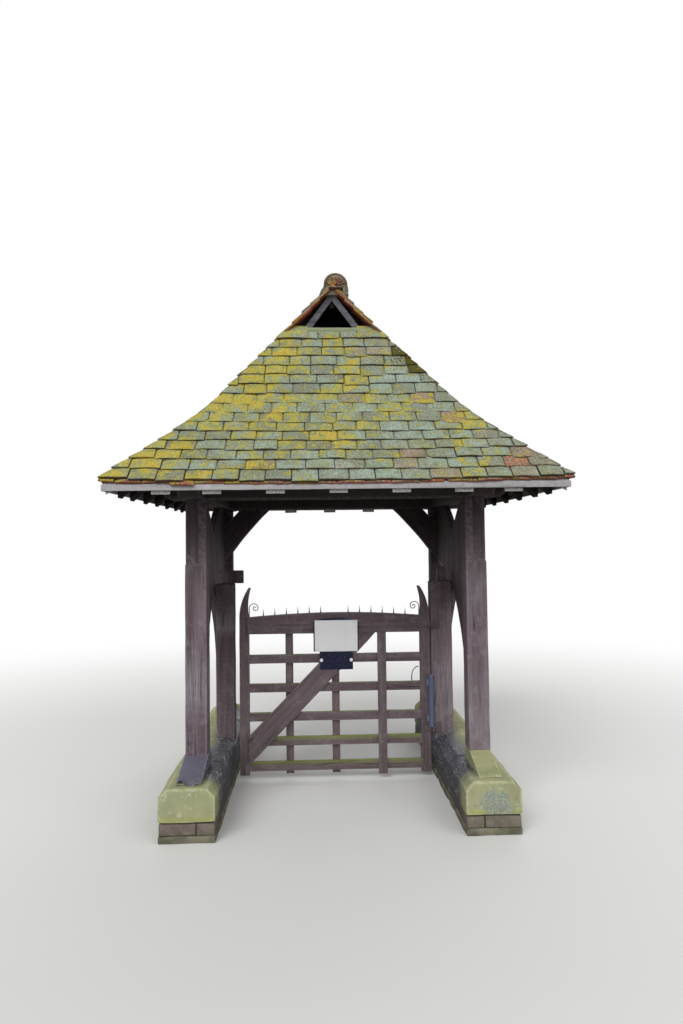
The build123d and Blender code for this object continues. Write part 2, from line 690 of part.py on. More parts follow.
with BuildPart() as rafters_rear:
    add(rafters(GABLET_BOARD_BACK), rotation=(0, 0, 90))
    add(above_collars, mode=Mode.SUBTRACT)
write(rafters_rear.part, "rafters_rear")

with BuildPart() as rafters_front:
    mirror(rafters_rear.part, about=Plane.XZ)
write(rafters_front.part, "rafters_front")

# Eaves boards under the lowest tiles, mitred at the corners

with BuildPart() as eaves_boards_sides:
    with BuildSketch(Plane.XZ):
        Polygon(
            (EAVES_BOARD_BACK, EAVES_BOARD_UNDER_Z),
            (EAVES_BOARD_FACE, EAVES_BOARD_UNDER_Z),
            (EAVES_BOARD_FACE, height_below(TILE_DEPTH, EAVES_BOARD_FACE)),
            (EAVES_BOARD_BACK, height_below(TILE_DEPTH, EAVES_BOARD_BACK)),
            align=None,
        )
    extrude(amount=EAVES_BOARD_FACE, both=True)
    with BuildSketch(Plane.XY.offset(BEAM_UNDER_Z - BEYOND)):
        Polygon((0, 0), (EAVE_HALF, -EAVE_HALF), (EAVE_HALF, EAVE_HALF), align=None)
    extrude(amount=RIDGE_Z, mode=Mode.INTERSECT)
    mirror(about=Plane.YZ)
write(eaves_boards_sides.part, "eaves_boards_sides")

with BuildPart() as eaves_boards_ends:
    add(eaves_boards_sides.part, rotation=(0, 0, 90))
write(eaves_boards_ends.part, "eaves_boards_ends")

# Tile slopes: side slopes run on to the ridge between the verges, end slopes stop at the gablets

with BuildPart() as roof_tiles_right:
    with BuildSketch(Plane.XZ):
        Polygon(*band(0, TILE_DEPTH, EAVE_HALF, 0), align=None)
    extrude(amount=EAVE_HALF, both=True)
    with BuildSketch(Plane.XY):
        Polygon(
            (0, -GABLET_HALF),
            (GABLET_HALF, -GABLET_HALF),
            (EAVE_HALF, -EAVE_HALF),
            (EAVE_HALF, EAVE_HALF),
            (GABLET_HALF, GABLET_HALF),
            (0, GABLET_HALF),
            align=None,
        )
    extrude(amount=RIDGE_Z, mode=Mode.INTERSECT)
write(roof_tiles_right.part, "roof_tiles_right")

with BuildPart() as roof_tiles_left:
    mirror(roof_tiles_right.part, about=Plane.YZ)
write(roof_tiles_left.part, "roof_tiles_left")

with BuildPart() as roof_tiles_front:
    with BuildSketch(Plane.YZ):
        Polygon(*[(-r, z) for r, z in band(0, TILE_DEPTH, EAVE_HALF, GABLET_HALF)], align=None)
    extrude(amount=EAVE_HALF, both=True)
    with BuildSketch(Plane.XY):
        Polygon((0, 0), (-EAVE_HALF, -EAVE_HALF), (EAVE_HALF, -EAVE_HALF), align=None)
    extrude(amount=RIDGE_Z, mode=Mode.INTERSECT)
write(roof_tiles_front.part, "roof_tiles_front")

with BuildPart() as roof_tiles_rear:
    mirror(roof_tiles_front.part, about=Plane.XZ)
write(roof_tiles_rear.part, "roof_tiles_rear")

# Ridge tiles: half-round, bedded solid on the heads of the side slopes

with BuildPart() as ridge_tiles:
    ridge_axis_z = RIDGE_TILE_TOP_Z - RIDGE_TILE_RADIUS
    with BuildSketch(Plane.XZ):
        with Locations((0, ridge_axis_z)):
            Circle(RIDGE_TILE_RADIUS)
            Rectangle(2 * RIDGE_TILE_RADIUS, RIDGE_TILE_RADIUS, align=(Align.CENTER, Align.MAX))
        Polygon(*(ROOF_LINE + [(-r, z) for r, z in ROOF_LINE[-2::-1]]), align=None, mode=Mode.SUBTRACT)
    extrude(amount=GABLET_HALF + RIDGE_TILE_PROUD, both=True)
write(ridge_tiles.part, "ridge_tiles")

# Gate: two horned stiles, a deep cambered top rail, thin rails, uprights and a broad diagonal board

with BuildPart() as gate_hanging_stile:
    with BuildSketch(Plane.XZ.offset(-GATE_BACK_Y)):
        with BuildLine():
            tip_outer = (STILE_INNER - HORN_LEAN + HORN_TIP_WIDTH, HORN_TOP_Z)
            tip_inner = (STILE_INNER - HORN_LEAN, HORN_TOP_Z)
            Line((STILE_INNER, GATE_UNDER_Z), (GATE_HALF, GATE_UNDER_Z))
            Line((GATE_HALF, GATE_UNDER_Z), (GATE_HALF, HORN_BASE_Z))
            TangentArc((GATE_HALF, HORN_BASE_Z), tip_outer, tangent=(0, 1))
            Line(tip_outer, tip_inner)
            bowed(tip_inner, (STILE_INNER, TOP_RAIL_END_Z), HORN_LEAN)
            Line((STILE_INNER, TOP_RAIL_END_Z), (STILE_INNER, GATE_UNDER_Z))
        make_face()
    extrude(amount=STILE_THICK)
write(gate_hanging_stile.part, "gate_hanging_stile")

with BuildPart() as gate_slam_stile:
    mirror(gate_hanging_stile.part, about=Plane.YZ)
write(gate_slam_stile.part, "gate_slam_stile")

with BuildPart() as gate_top_rail:
    with BuildSketch(Plane.XZ.offset(-GATE_FRONT_Y)):
        with BuildLine():
            Polyline(
                (-STILE_INNER, TOP_RAIL_END_Z),
                (-STILE_INNER, TOP_RAIL_UNDER_Z),
                (STILE_INNER, TOP_RAIL_UNDER_Z),
                (STILE_INNER, TOP_RAIL_END_Z),
            )
            rail_crown = (0, TOP_RAIL_MIDDLE_Z)
            ThreePointArc((STILE_INNER, TOP_RAIL_END_Z), rail_crown, (-STILE_INNER, TOP_RAIL_END_Z))
        make_face()
    extrude(amount=-TOP_RAIL_THICK)
write(gate_top_rail.part, "gate_top_rail")

with BuildPart() as gate_rails:
    for low_z, high_z in RAIL_SPANS_Z:
        rail_span_y = (GATE_FRONT_Y, GATE_FRONT_Y + RAIL_THICK)
        add(block((-STILE_INNER, STILE_INNER), rail_span_y, (low_z, high_z)))
write(gate_rails.part, "gate_rails")

with BuildPart() as gate_uprights:
    upright_span_z = (GATE_UNDER_Z, TOP_RAIL_UNDER_Z)
    back_y = GATE_FRONT_Y + RAIL_THICK
    for middle_x in BACK_UPRIGHTS_X:
        half = BACK_UPRIGHT_WIDTH / 2
        add(block((middle_x - half, middle_x + half), (back_y, back_y + UPRIGHT_THICK), upright_span_z))
    half = FRONT_UPRIGHT_WIDTH / 2
    front_span_x = (FRONT_UPRIGHT_X - half, FRONT_UPRIGHT_X + half)
    add(block(front_span_x, (GATE_FRONT_Y - UPRIGHT_THICK, GATE_FRONT_Y), upright_span_z))
write(gate_uprights.part, "gate_uprights")

with BuildPart() as gate_diagonal:
    with BuildSketch(Plane.XZ.offset(-GATE_FRONT_Y)):
        rise = math.tan(math.radians(DIAGONAL_ANGLE))
        end_cut = DIAGONAL_WIDTH / math.cos(math.radians(DIAGONAL_ANGLE))
        lower_reach = (TOP_RAIL_UNDER_Z - DIAGONAL_FOOT_Z) / rise
        upper_reach = (TOP_RAIL_UNDER_Z - DIAGONAL_FOOT_Z - end_cut) / rise
        Polygon(
            (-STILE_INNER, DIAGONAL_FOOT_Z),
            (-STILE_INNER + lower_reach, TOP_RAIL_UNDER_Z),
            (-STILE_INNER + upper_reach, TOP_RAIL_UNDER_Z),
            (-STILE_INNER, DIAGONAL_FOOT_Z + end_cut),
            align=None,
        )
    extrude(amount=DIAGONAL_THICK)
write(gate_diagonal.part, "gate_diagonal")

# Ironwork on the top rail: short spikes in two groups, and a scroll beside each horn

rail_middle_y = GATE_FRONT_Y + TOP_RAIL_THICK / 2

with BuildPart() as gate_spikes:
    spike_places = [SPIKE_FIRST_X + SPIKE_PITCH * n for n in range(SPIKES_EACH_SIDE)]
    rail_radius = (STILE_INNER**2 + (TOP_RAIL_MIDDLE_Z - TOP_RAIL_END_Z) ** 2) / (
        2 * (TOP_RAIL_MIDDLE_Z - TOP_RAIL_END_Z)
    )
    for place in spike_places + [-x for x in spike_places]:
        high_side = abs(place) - SPIKE_RADIUS
        seat_z = TOP_RAIL_MIDDLE_Z - rail_radius + math.sqrt(rail_radius**2 - high_side**2)
        with BuildSketch(Plane.XY.offset(seat_z)):
            with Locations((place, rail_middle_y)):
                RegularPolygon(SPIKE_RADIUS, SPIKE_FACES)
        extrude(amount=SPIKE_TALL, taper=SPIKE_TAPER)
write(gate_spikes.part, "gate_spikes")


def scroll_edge(inset):
    """One edge of the scroll band: half turns that shrink from the horn inwards; returns its free end."""
    middle_z = TOP_RAIL_END_Z + SCROLL_RISE
    radius = SCROLL_RADIUS
    side = 1
    middle_x = STILE_INNER - SCROLL_RADIUS
    for _ in range(SCROLL_HALF_TURNS):
        reach = radius - inset
        start = (middle_x + side * reach, middle_z)
        end = (middle_x - side * reach, middle_z)
        ThreePointArc(start, (middle_x, middle_z + side * reach), end)
        middle_x += side * (SCROLL_SHRINK - 1) * radius
        radius *= SCROLL_SHRINK
        side = -side
    return end


with BuildPart() as gate_scrolls:
    with BuildSketch(Plane.XZ.offset(-rail_middle_y - SCROLL_DEPTH / 2)):
        with BuildLine():
            outer_end = scroll_edge(0)
            inner_end = scroll_edge(SCROLL_BAND)
            Line(outer_end, inner_end)
            foot_z = TOP_RAIL_END_Z - SCROLL_BAND
            Polyline(
                (STILE_INNER, TOP_RAIL_END_Z + SCROLL_RISE),
                (STILE_INNER, foot_z),
                (STILE_INNER - SCROLL_BAND, foot_z),
                (STILE_INNER - SCROLL_BAND, TOP_RAIL_END_Z + SCROLL_RISE),
            )
        make_face()
    extrude(amount=SCROLL_DEPTH)
    mirror(about=Plane.YZ)
    add(gate_top_rail.part, mode=Mode.SUBTRACT)
    add(gate_hanging_stile.part, mode=Mode.SUBTRACT)
    add(gate_slam_stile.part, mode=Mode.SUBTRACT)
write(gate_scrolls.part, "gate_scrolls")

# Notice: a dark back plate with an arched head on the diagonal board, and a plain white plate on it

with BuildPart() as gate_notice_back:
    plate_left = NOTICE_LEFT - BACK_PLATE_MARGIN
    plate_right = NOTICE_RIGHT + BACK_PLATE_MARGIN
    foot_left = NOTICE_LEFT + BACK_PLATE_FOOT_INSET
    foot_right = NOTICE_RIGHT - BACK_PLATE_FOOT_INSET
    foot_z = NOTICE_UNDER_Z - BACK_PLATE_FOOT_DROP
    shoulder_z = NOTICE_TOP_Z - BACK_PLATE_SHOULDER
    with BuildSketch(Plane.XZ.offset(-OVERLAY_Y)):
        with BuildLine():
            Polyline(
                (plate_left, shoulder_z),
                (plate_left, NOTICE_UNDER_Z),
                (foot_left, NOTICE_UNDER_Z),
                (foot_left, foot_z),
                (foot_right, foot_z),
                (foot_right, NOTICE_UNDER_Z),
                (plate_right, NOTICE_UNDER_Z),
                (plate_right, shoulder_z),
            )
            crown = ((plate_left + plate_right) / 2, NOTICE_TOP_Z + BACK_PLATE_CROWN)
            ThreePointArc((plate_right, shoulder_z), crown, (plate_left, shoulder_z))
        make_face()
    extrude(amount=BACK_PLATE_THICK)
write(gate_notice_back.part, "gate_notice_back")

with BuildPart() as gate_notice:
    notice_back_y = OVERLAY_Y - BACK_PLATE_THICK
    add(
        block(
            (NOTICE_LEFT, NOTICE_RIGHT),
            (notice_back_y - NOTICE_THICK, notice_back_y),
            (NOTICE_UNDER_Z, NOTICE_TOP_Z),
        )
    )
write(gate_notice.part, "gate_notice")

# Hinges: a knuckle on a short strap on the gate, over a pin that stands on an arm from the gate post

with BuildPart() as gate_hinges:
    for level in HINGE_LEVELS_Z:
        with BuildSketch(Plane.XY.offset(level)):
            with Locations((HINGE_X, GATE_FRONT_Y)):
                Rectangle(STRAP_LONG, STRAP_THICK, align=(Align.MAX, Align.MAX))
            with Locations((HINGE_X, HINGE_Y)):
                Circle(KNUCKLE_RADIUS)
                Circle(HINGE_PIN_RADIUS + HINGE_PIN_CLEARANCE, mode=Mode.SUBTRACT)
        extrude(amount=KNUCKLE_TALL)
write(gate_hinges.part, "gate_hinges")

with BuildPart() as hinge_pins:
    for level in HINGE_LEVELS_Z:
        arm_top_z = level - PIN_CLEARANCE_UNDER
        with BuildSketch(Plane.XY.offset(arm_top_z)):
            with Locations((HINGE_X, HINGE_Y)):
                Rectangle(PIN_ARM_WIDTH, GATE_POST_FRONT_Y - HINGE_Y, align=(Align.CENTER, Align.MIN))
                Circle(PIN_ARM_WIDTH / 2)
        extrude(amount=-PIN_ARM_TALL)
        with BuildSketch(Plane.XY.offset(arm_top_z)):
            with Locations((HINGE_X, GATE_POST_FRONT_Y)):
                Rectangle(PIN_ARM_WIDTH, PIN_PLATE_THICK, align=(Align.CENTER, Align.MAX))
            with Locations((HINGE_X + PIN_ARM_WIDTH / 2, GATE_POST_FRONT_Y)):
                Rectangle(PIN_PLATE_WIDTH, PIN_PLATE_THICK, align=(Align.MIN, Align.MAX))
        extrude(amount=-PIN_ARM_TALL)
        with BuildSketch(Plane.XY.offset(arm_top_z - PIN_ARM_TALL)):
            with Locations((HINGE_X + PIN_ARM_WIDTH / 2, GATE_POST_FRONT_Y)):
                Rectangle(PIN_PLATE_WIDTH, PIN_PLATE_THICK, align=(Align.MIN, Align.MAX))
        extrude(amount=PIN_PLATE_TALL)
        with BuildSketch(Plane.XY.offset(arm_top_z)):
            with Locations((HINGE_X, HINGE_Y)):
                Circle(HINGE_PIN_RADIUS)
        extrude(amount=KNUCKLE_TALL + PIN_CLEARANCE_UNDER)
write(hinge_pins.part, "hinge_pins")

# Closer tube: an upright tube on two saddles at the edge of the hanging stile

with BuildPart() as closer_tube:
    tube_low_z = HINGE_LEVELS_Z[0] + KNUCKLE_TALL + TUBE_ABOVE_HINGE
    tube_high_z = tube_low_z + TUBE_LONG
    tube_y = GATE_FRONT_Y - TUBE_RADIUS - TUBE_STAND_OFF
    with BuildSketch(Plane.XY.offset(tube_low_z)):
        with Locations((TUBE_MIDDLE_X, tube_y)):
            Circle(TUBE_RADIUS)
    extrude(amount=TUBE_LONG)
    for saddle_z in (tube_low_z + TUBE_SADDLE_TALL, tube_high_z - 2 * TUBE_SADDLE_TALL):
        with BuildSketch(Plane.XY.offset(saddle_z)):
            with Locations((GATE_HALF, tube_y)):
                Rectangle(TUBE_SADDLE_WIDTH, GATE_FRONT_Y - tube_y, align=(Align.MAX, Align.MIN))
        extrude(amount=TUBE_SADDLE_TALL)
write(closer_tube.part, "closer_tube")
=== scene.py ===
"""Lychgate: weathered oak frame, hipped roof of old clay tiles, stone plinths and a horned gate.

Metres. +X is to the right of someone who faces the gate from the road, +Y runs through the gate,
away from the road, and +Z is up. The origin is on the ground under the middle of the roof.
"""

import logging
import math
import random
from collections.abc import Callable, Iterable, Sequence
from dataclasses import dataclass, field
from enum import Enum
from itertools import product

import bmesh
import bpy
from mathutils import Matrix, Vector, noise

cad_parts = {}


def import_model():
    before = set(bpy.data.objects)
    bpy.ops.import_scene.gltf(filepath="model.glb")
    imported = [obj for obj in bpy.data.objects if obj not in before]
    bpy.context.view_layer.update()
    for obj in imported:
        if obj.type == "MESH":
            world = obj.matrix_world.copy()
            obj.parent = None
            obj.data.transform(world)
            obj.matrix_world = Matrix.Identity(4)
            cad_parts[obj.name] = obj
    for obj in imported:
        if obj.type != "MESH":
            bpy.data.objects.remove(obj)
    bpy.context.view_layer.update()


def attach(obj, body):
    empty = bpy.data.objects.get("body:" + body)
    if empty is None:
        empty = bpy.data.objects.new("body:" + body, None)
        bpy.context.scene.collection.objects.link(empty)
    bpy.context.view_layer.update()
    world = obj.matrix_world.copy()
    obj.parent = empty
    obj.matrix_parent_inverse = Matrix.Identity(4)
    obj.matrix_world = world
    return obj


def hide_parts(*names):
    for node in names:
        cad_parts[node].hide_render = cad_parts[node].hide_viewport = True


LOG = logging.getLogger("lychgate")

Mesh = bmesh.types.BMesh
Point = bmesh.types.BMVert
Node = bpy.types.Node
Tree = bpy.types.NodeTree
Socket = bpy.types.NodeSocket
Material = bpy.types.Material
Piece = bpy.types.Object
Colour = tuple[float, float, float, float]
Rule = Callable[[Vector], float]
Marks = dict[str, Rule]
Solid = tuple[list[Vector], list[list[int]]]


class Body(Enum):
    """Bodies of the frame that pieces ride on."""

    FRAME = "lychgate"
    GATE = "gate"


class Side(Enum):
    """The two sides of the gateway, as the sign of X."""

    LEFT = -1
    RIGHT = 1


class Slope(Enum):
    """The four roof slopes, as the quarter turns that bring +X outwards on each."""

    RIGHT = 0
    REAR = 1
    LEFT = 2
    FRONT = 3


# Colours and shader trees


def srgb(red: int, green: int, blue: int) -> Colour:
    """Converts a display colour to the linear values of a socket.

    Args:
        red: Red from 0 to 255.
        green: Green from 0 to 255.
        blue: Blue from 0 to 255.

    Returns:
        The linear colour with full alpha.
    """
    full, dark_end, dark_slope, offset, gamma = 255, 10, 12.92, 0.055, 2.4
    parts = [
        channel / full / dark_slope
        if channel <= dark_end
        else ((channel / full + offset) / (1.0 + offset)) ** gamma
        for channel in (red, green, blue)
    ]
    return (parts[0], parts[1], parts[2], 1.0)


class Graph:
    """Adds nodes to one shader tree and joins them."""

    MIX_SHARE, MIX_LOW, MIX_HIGH, MIX_RESULT = 0, 6, 7, 2

    def __init__(self, tree: Tree) -> None:
        """Keeps the tree that the nodes go into."""
        self.tree = tree

    def add(self, kind: str, inputs: dict | None = None, **settings: object) -> Node:
        """Adds one node.

        Args:
            kind: Blender's name for the type of node.
            inputs: A value or a socket for each named or numbered input.
            **settings: The node's own properties, set before its inputs.

        Returns:
            The new node.
        """
        node = self.tree.nodes.new(kind)
        for name, value in settings.items():
            setattr(node, name, value)
        for name, value in (inputs or {}).items():
            if isinstance(value, Socket):
                self.tree.links.new(value, node.inputs[name])
            else:
                node.inputs[name].default_value = value
        return node

    def mix(self, share: object, low: object, high: object) -> Socket:
        """Mixes two colours."""
        inputs = {self.MIX_SHARE: share, self.MIX_LOW: low, self.MIX_HIGH: high}
        return self.add("ShaderNodeMix", inputs, data_type="RGBA").outputs[self.MIX_RESULT]

    def math(self, operation: str, first: object, second: object = 0.0) -> Socket:
        """Works out one sum."""
        return self.add("ShaderNodeMath", {0: first, 1: second}, operation=operation).outputs[0]

    def times(self, first: object, second: object) -> Socket:
        """Multiplies two values."""
        return self.math("MULTIPLY", first, second)

    def plus(self, first: object, second: object) -> Socket:
        """Adds two values."""
        return self.math("ADD", first, second)

    def minus(self, first: object, second: object) -> Socket:
        """Takes the second value from the first."""
        return self.math("SUBTRACT", first, second)

    def coats(self, colour: object, *coats: tuple[object, object, object]) -> Socket:
        """Lays coats of colour one over another.

        Args:
            colour: Colour underneath.
            *coats: For each coat its mask, its share and its colour.

        Returns:
            The colour on top.
        """
        for mask, share, tone in coats:
            colour = self.mix(mask if share == 1.0 else self.times(mask, share), colour, tone)
        return colour

    def step(self, value: object, low: object, high: object) -> Socket:
        """Turns a value into a soft mask that is 0 at low and 1 at high."""
        inputs = {"Value": value, "From Min": low, "From Max": high}
        return self.add("ShaderNodeMapRange", inputs, interpolation_type="SMOOTHSTEP").outputs["Result"]

    def noise(self, where: Socket, scale: object, detail: float = 4.0, roughness: float = 0.55) -> Socket:
        """Adds fractal noise."""
        inputs = {"Vector": where, "Scale": scale, "Detail": detail, "Roughness": roughness}
        return self.add("ShaderNodeTexNoise", inputs).outputs[0]

    def stretch(self, where: Socket, scale: tuple[float, float, float]) -> Socket:
        """Scales coordinates by a different amount on each axis."""
        return self.add("ShaderNodeVectorMath", {0: where, 1: scale}, operation="MULTIPLY").outputs[0]

    def z_of(self, vector: Socket) -> Socket:
        """Gives the third value of a vector."""
        return self.add("ShaderNodeSeparateXYZ", {0: vector}).outputs["Z"]

    def attribute(self, name: str, output: str = "Fac") -> Socket:
        """Reads a value that the mesh carries."""
        return self.add("ShaderNodeAttribute", attribute_name=name).outputs[output]

    def place(self) -> Socket:
        """Gives the point in the frame at rest, in metres."""
        return self.add("ShaderNodeTexCoord").outputs["Object"]

    def group(self, tree: Tree, inputs: dict) -> dict[str, Socket]:
        """Places a shared group."""
        node = self.add("ShaderNodeGroup", inputs, node_tree=tree)
        return {socket.name: socket for socket in node.outputs}


@dataclass(frozen=True)
class Texture:
    """Fractal noise, and the levels between which a mask of it rises from 0 to 1."""

    scale: float = 1.0
    detail: float = 4.0
    roughness: float = 0.55
    low: float = 0.0
    high: float = 1.0
    stretch: tuple[float, float, float] | None = None

    def value(self, graph: Graph, where: Socket) -> Socket:
        """Adds the noise.

        Args:
            graph: Graph that it goes into.
            where: Coordinates.

        Returns:
            The noise, from 0 to 1.
        """
        if self.stretch is not None:
            where = graph.stretch(where, self.stretch)
        return graph.noise(where, self.scale, self.detail, self.roughness)

    def mask(self, graph: Graph, where: Socket) -> Socket:
        """Adds the noise as a soft mask."""
        return graph.step(self.value(graph, where), self.low, self.high)


class Effects:
    """Shader node groups that more than one finish uses."""

    BROAD_GRAIN = Texture(detail=5.0, roughness=0.6, stretch=(22.0, 22.0, 1.1))
    FIBRES = Texture(detail=3.0, roughness=0.7, stretch=(240.0, 240.0, 5.0))
    SPLITS = Texture(detail=2.5, roughness=0.5, stretch=(17.0, 17.0, 0.55))
    SPLIT_PLACES = Texture(detail=2.0, low=0.5, high=0.62, stretch=(6.0, 6.0, 0.9))
    WEAR_PLACES = Texture(scale=35.0, roughness=0.7, low=0.35, high=0.6)
    SPLASH_EDGE = Texture(scale=12.0, detail=5.0, roughness=0.65)
    STREAKS = Texture(roughness=0.6, stretch=(38.0, 38.0, 2.2))
    CRACK_DEPTH = 1.6
    CRUST_EDGE, CRUST_CORE = 0.03, 0.13
    MOSS_FADE_LOW, MOSS_FADE_HIGH = 0.07, 0.05
    LEAN_FADE, TUFT_FLOOR = 0.3, 0.4
    SPECK_FINENESS, TUFT_FINENESS = 7.0, 22.0
    PATCH_DETAIL, CRUST_ROUGHNESS, MOSS_ROUGHNESS = 6.0, 0.66, 0.65
    FINE_DETAIL, SPECK_ROUGHNESS, TUFT_ROUGHNESS = 3.0, 0.6, 0.7
    CORNER_FROM = 0.82
    SPLASH_FROM = -0.6

    def __init__(self) -> None:
        """Builds every group once."""
        self.grain = self.build_grain()
        self.lichen = self.build_lichen()
        self.moss = self.build_moss()
        self.wear = self.build_wear()
        self.grime = self.build_grime()

    @staticmethod
    def start(name: str, inputs: dict[str, float | None]) -> tuple[Graph, dict[str, Socket]]:
        """Starts a group with its inputs.

        Args:
            name: Name of the group.
            inputs: Start value of each number input, or None for a vector.

        Returns:
            The graph, and the group's input sockets by name.
        """
        graph = Graph(bpy.data.node_groups.new(name, "ShaderNodeTree"))
        for label, start_value in inputs.items():
            kind = "NodeSocketVector" if start_value is None else "NodeSocketFloat"
            socket = graph.tree.interface.new_socket(name=label, in_out="INPUT", socket_type=kind)
            if start_value is not None:
                socket.default_value = start_value
        entry = graph.add("NodeGroupInput")
        return graph, {label: entry.outputs[label] for label in inputs}

    @staticmethod
    def close(graph: Graph, results: dict[str, Socket]) -> Tree:
        """Gives a group its outputs.

        Args:
            graph: Graph of the group.
            results: Socket for each output.

        Returns:
            The group.
        """
        for label in results:
            graph.tree.interface.new_socket(name=label, in_out="OUTPUT", socket_type="NodeSocketFloat")
        graph.add("NodeGroupOutput", results)
        return graph.tree

    def build_grain(self) -> Tree:
        """Wood grain along the third axis: broad tone, fine fibres and drying cracks.

        Returns:
            The group.
        """
        graph, given = self.start("timber_grain", {"Along": None, "Crack Width": 0.02})
        broad = self.BROAD_GRAIN.value(graph, given["Along"])
        fine = self.FIBRES.value(graph, given["Along"])
        split = self.SPLITS.value(graph, given["Along"])
        off_line = graph.math("ABSOLUTE", graph.minus(split, 0.5))
        line = graph.minus(1.0, graph.step(off_line, 0.0, given["Crack Width"]))
        cracks = graph.times(line, self.SPLIT_PLACES.mask(graph, given["Along"]))
        relief = graph.plus(graph.times(broad, 0.5), graph.times(fine, 0.5))
        height = graph.minus(relief, graph.times(cracks, self.CRACK_DEPTH))
        return self.close(graph, {"Tone": broad, "Fibre": fine, "Cracks": cracks, "Height": height})

    def build_lichen(self) -> Tree:
        """Crusty growth in lobed patches with specks round them.

        Returns:
            The group.
        """
        inputs = {"Where": None, "Scale": 10.0, "Cover": 0.5, "Fine": 0.2}
        graph, given = self.start("lichen_crust", inputs)
        shape = graph.noise(given["Where"], given["Scale"], self.PATCH_DETAIL, self.CRUST_ROUGHNESS)
        finer = graph.times(given["Scale"], self.SPECK_FINENESS)
        specks = graph.noise(given["Where"], finer, self.FINE_DETAIL, self.SPECK_ROUGHNESS)
        coarse = graph.times(shape, graph.minus(1.0, given["Fine"]))
        mixed = graph.plus(coarse, graph.times(specks, given["Fine"]))
        level = graph.minus(1.0, given["Cover"])
        edge = graph.plus(level, self.CRUST_EDGE)
        mask = graph.step(mixed, level, edge)
        core = graph.step(mixed, edge, graph.plus(level, self.CRUST_CORE))
        height = graph.times(mask, graph.plus(0.5, specks))
        return self.close(graph, {"Mask": mask, "Core": core, "Height": height})

    def build_moss(self) -> Tree:
        """Green growth that settles on faces turned up to the sky.

        Returns:
            The group.
        """
        graph, given = self.start("top_moss", {"Where": None, "Scale": 14.0, "Cover": 0.5, "Lean": 0.35})
        normal = graph.add("ShaderNodeNewGeometry").outputs["Normal"]
        upward = graph.z_of(normal)
        facing = graph.step(upward, graph.minus(given["Lean"], self.LEAN_FADE), given["Lean"])
        shape = graph.noise(given["Where"], given["Scale"], self.PATCH_DETAIL, self.MOSS_ROUGHNESS)
        level = graph.minus(1.0, given["Cover"])
        low, high = graph.minus(level, self.MOSS_FADE_LOW), graph.plus(level, self.MOSS_FADE_HIGH)
        patch = graph.step(shape, low, high)
        mask = graph.times(facing, patch)
        finer = graph.times(given["Scale"], self.TUFT_FINENESS)
        tufts = graph.noise(given["Where"], finer, self.FINE_DETAIL, self.TUFT_ROUGHNESS)
        height = graph.times(mask, graph.plus(self.TUFT_FLOOR, tufts))
        return self.close(graph, {"Mask": mask, "Tone": tufts, "Height": height})

    def build_wear(self) -> Tree:
        """Rubbed corners, from the value that the worn corners of a mesh carry.

        Returns:
            The group.
        """
        graph, given = self.start("corner_wear", {"Where": None, "Corner": 0.0, "Amount": 0.6})
        close = graph.step(given["Corner"], self.CORNER_FROM, 1.0)
        reach = graph.times(close, self.WEAR_PLACES.mask(graph, given["Where"]))
        return self.close(graph, {"Mask": graph.times(reach, given["Amount"])})

    def build_grime(self) -> Tree:
        """Splashed earth and damp that fade upwards from the ground, with streaks that run down.

        Returns:
            The group.
        """
        graph, given = self.start("ground_grime", {"Where": None, "Reach": 0.3})
        height = graph.z_of(given["Where"])
        ragged = self.SPLASH_EDGE.value(graph, given["Where"])
        raised = graph.minus(height, graph.times(ragged, given["Reach"]))
        lowest = graph.times(given["Reach"], self.SPLASH_FROM)
        splash = graph.minus(1.0, graph.step(raised, lowest, given["Reach"]))
        runs = self.STREAKS.value(graph, given["Where"])
        return self.close(graph, {"Splash": splash, "Streaks": runs})


def start_material(name: str, roughness: float, specular: float) -> tuple[Material, Graph, Node]:
    """Starts a node material.

    Args:
        name: Name of the material.
        roughness: Start roughness.
        specular: Specular level.

    Returns:
        The material, its graph and its surface shader.
    """
    material = bpy.data.materials.new(name)
    material.use_nodes = True
    graph = Graph(material.node_tree)
    shader = material.node_tree.nodes["Principled BSDF"]
    shader.inputs["Roughness"].default_value = roughness
    shader.inputs["Specular IOR Level"].default_value = specular
    return material, graph, shader


def dress_surface(
    graph: Graph, shader: Node, colour: Socket, roughness: Socket, height: Socket, relief: float
) -> None:
    """Joins colour, roughness and bump to the surface shader.

    Args:
        graph: Graph of the material.
        shader: Surface shader.
        colour: Base colour.
        roughness: Roughness.
        height: Height from 0 to 1.
        relief: Depth of the bump in metres.
    """
    bump = graph.add("ShaderNodeBump", {"Strength": 1.0, "Distance": relief, "Height": height})
    links = graph.tree.links
    links.new(colour, shader.inputs["Base Color"])
    links.new(roughness, shader.inputs["Roughness"])
    links.new(bump.outputs["Normal"], shader.inputs["Normal"])


# Finishes


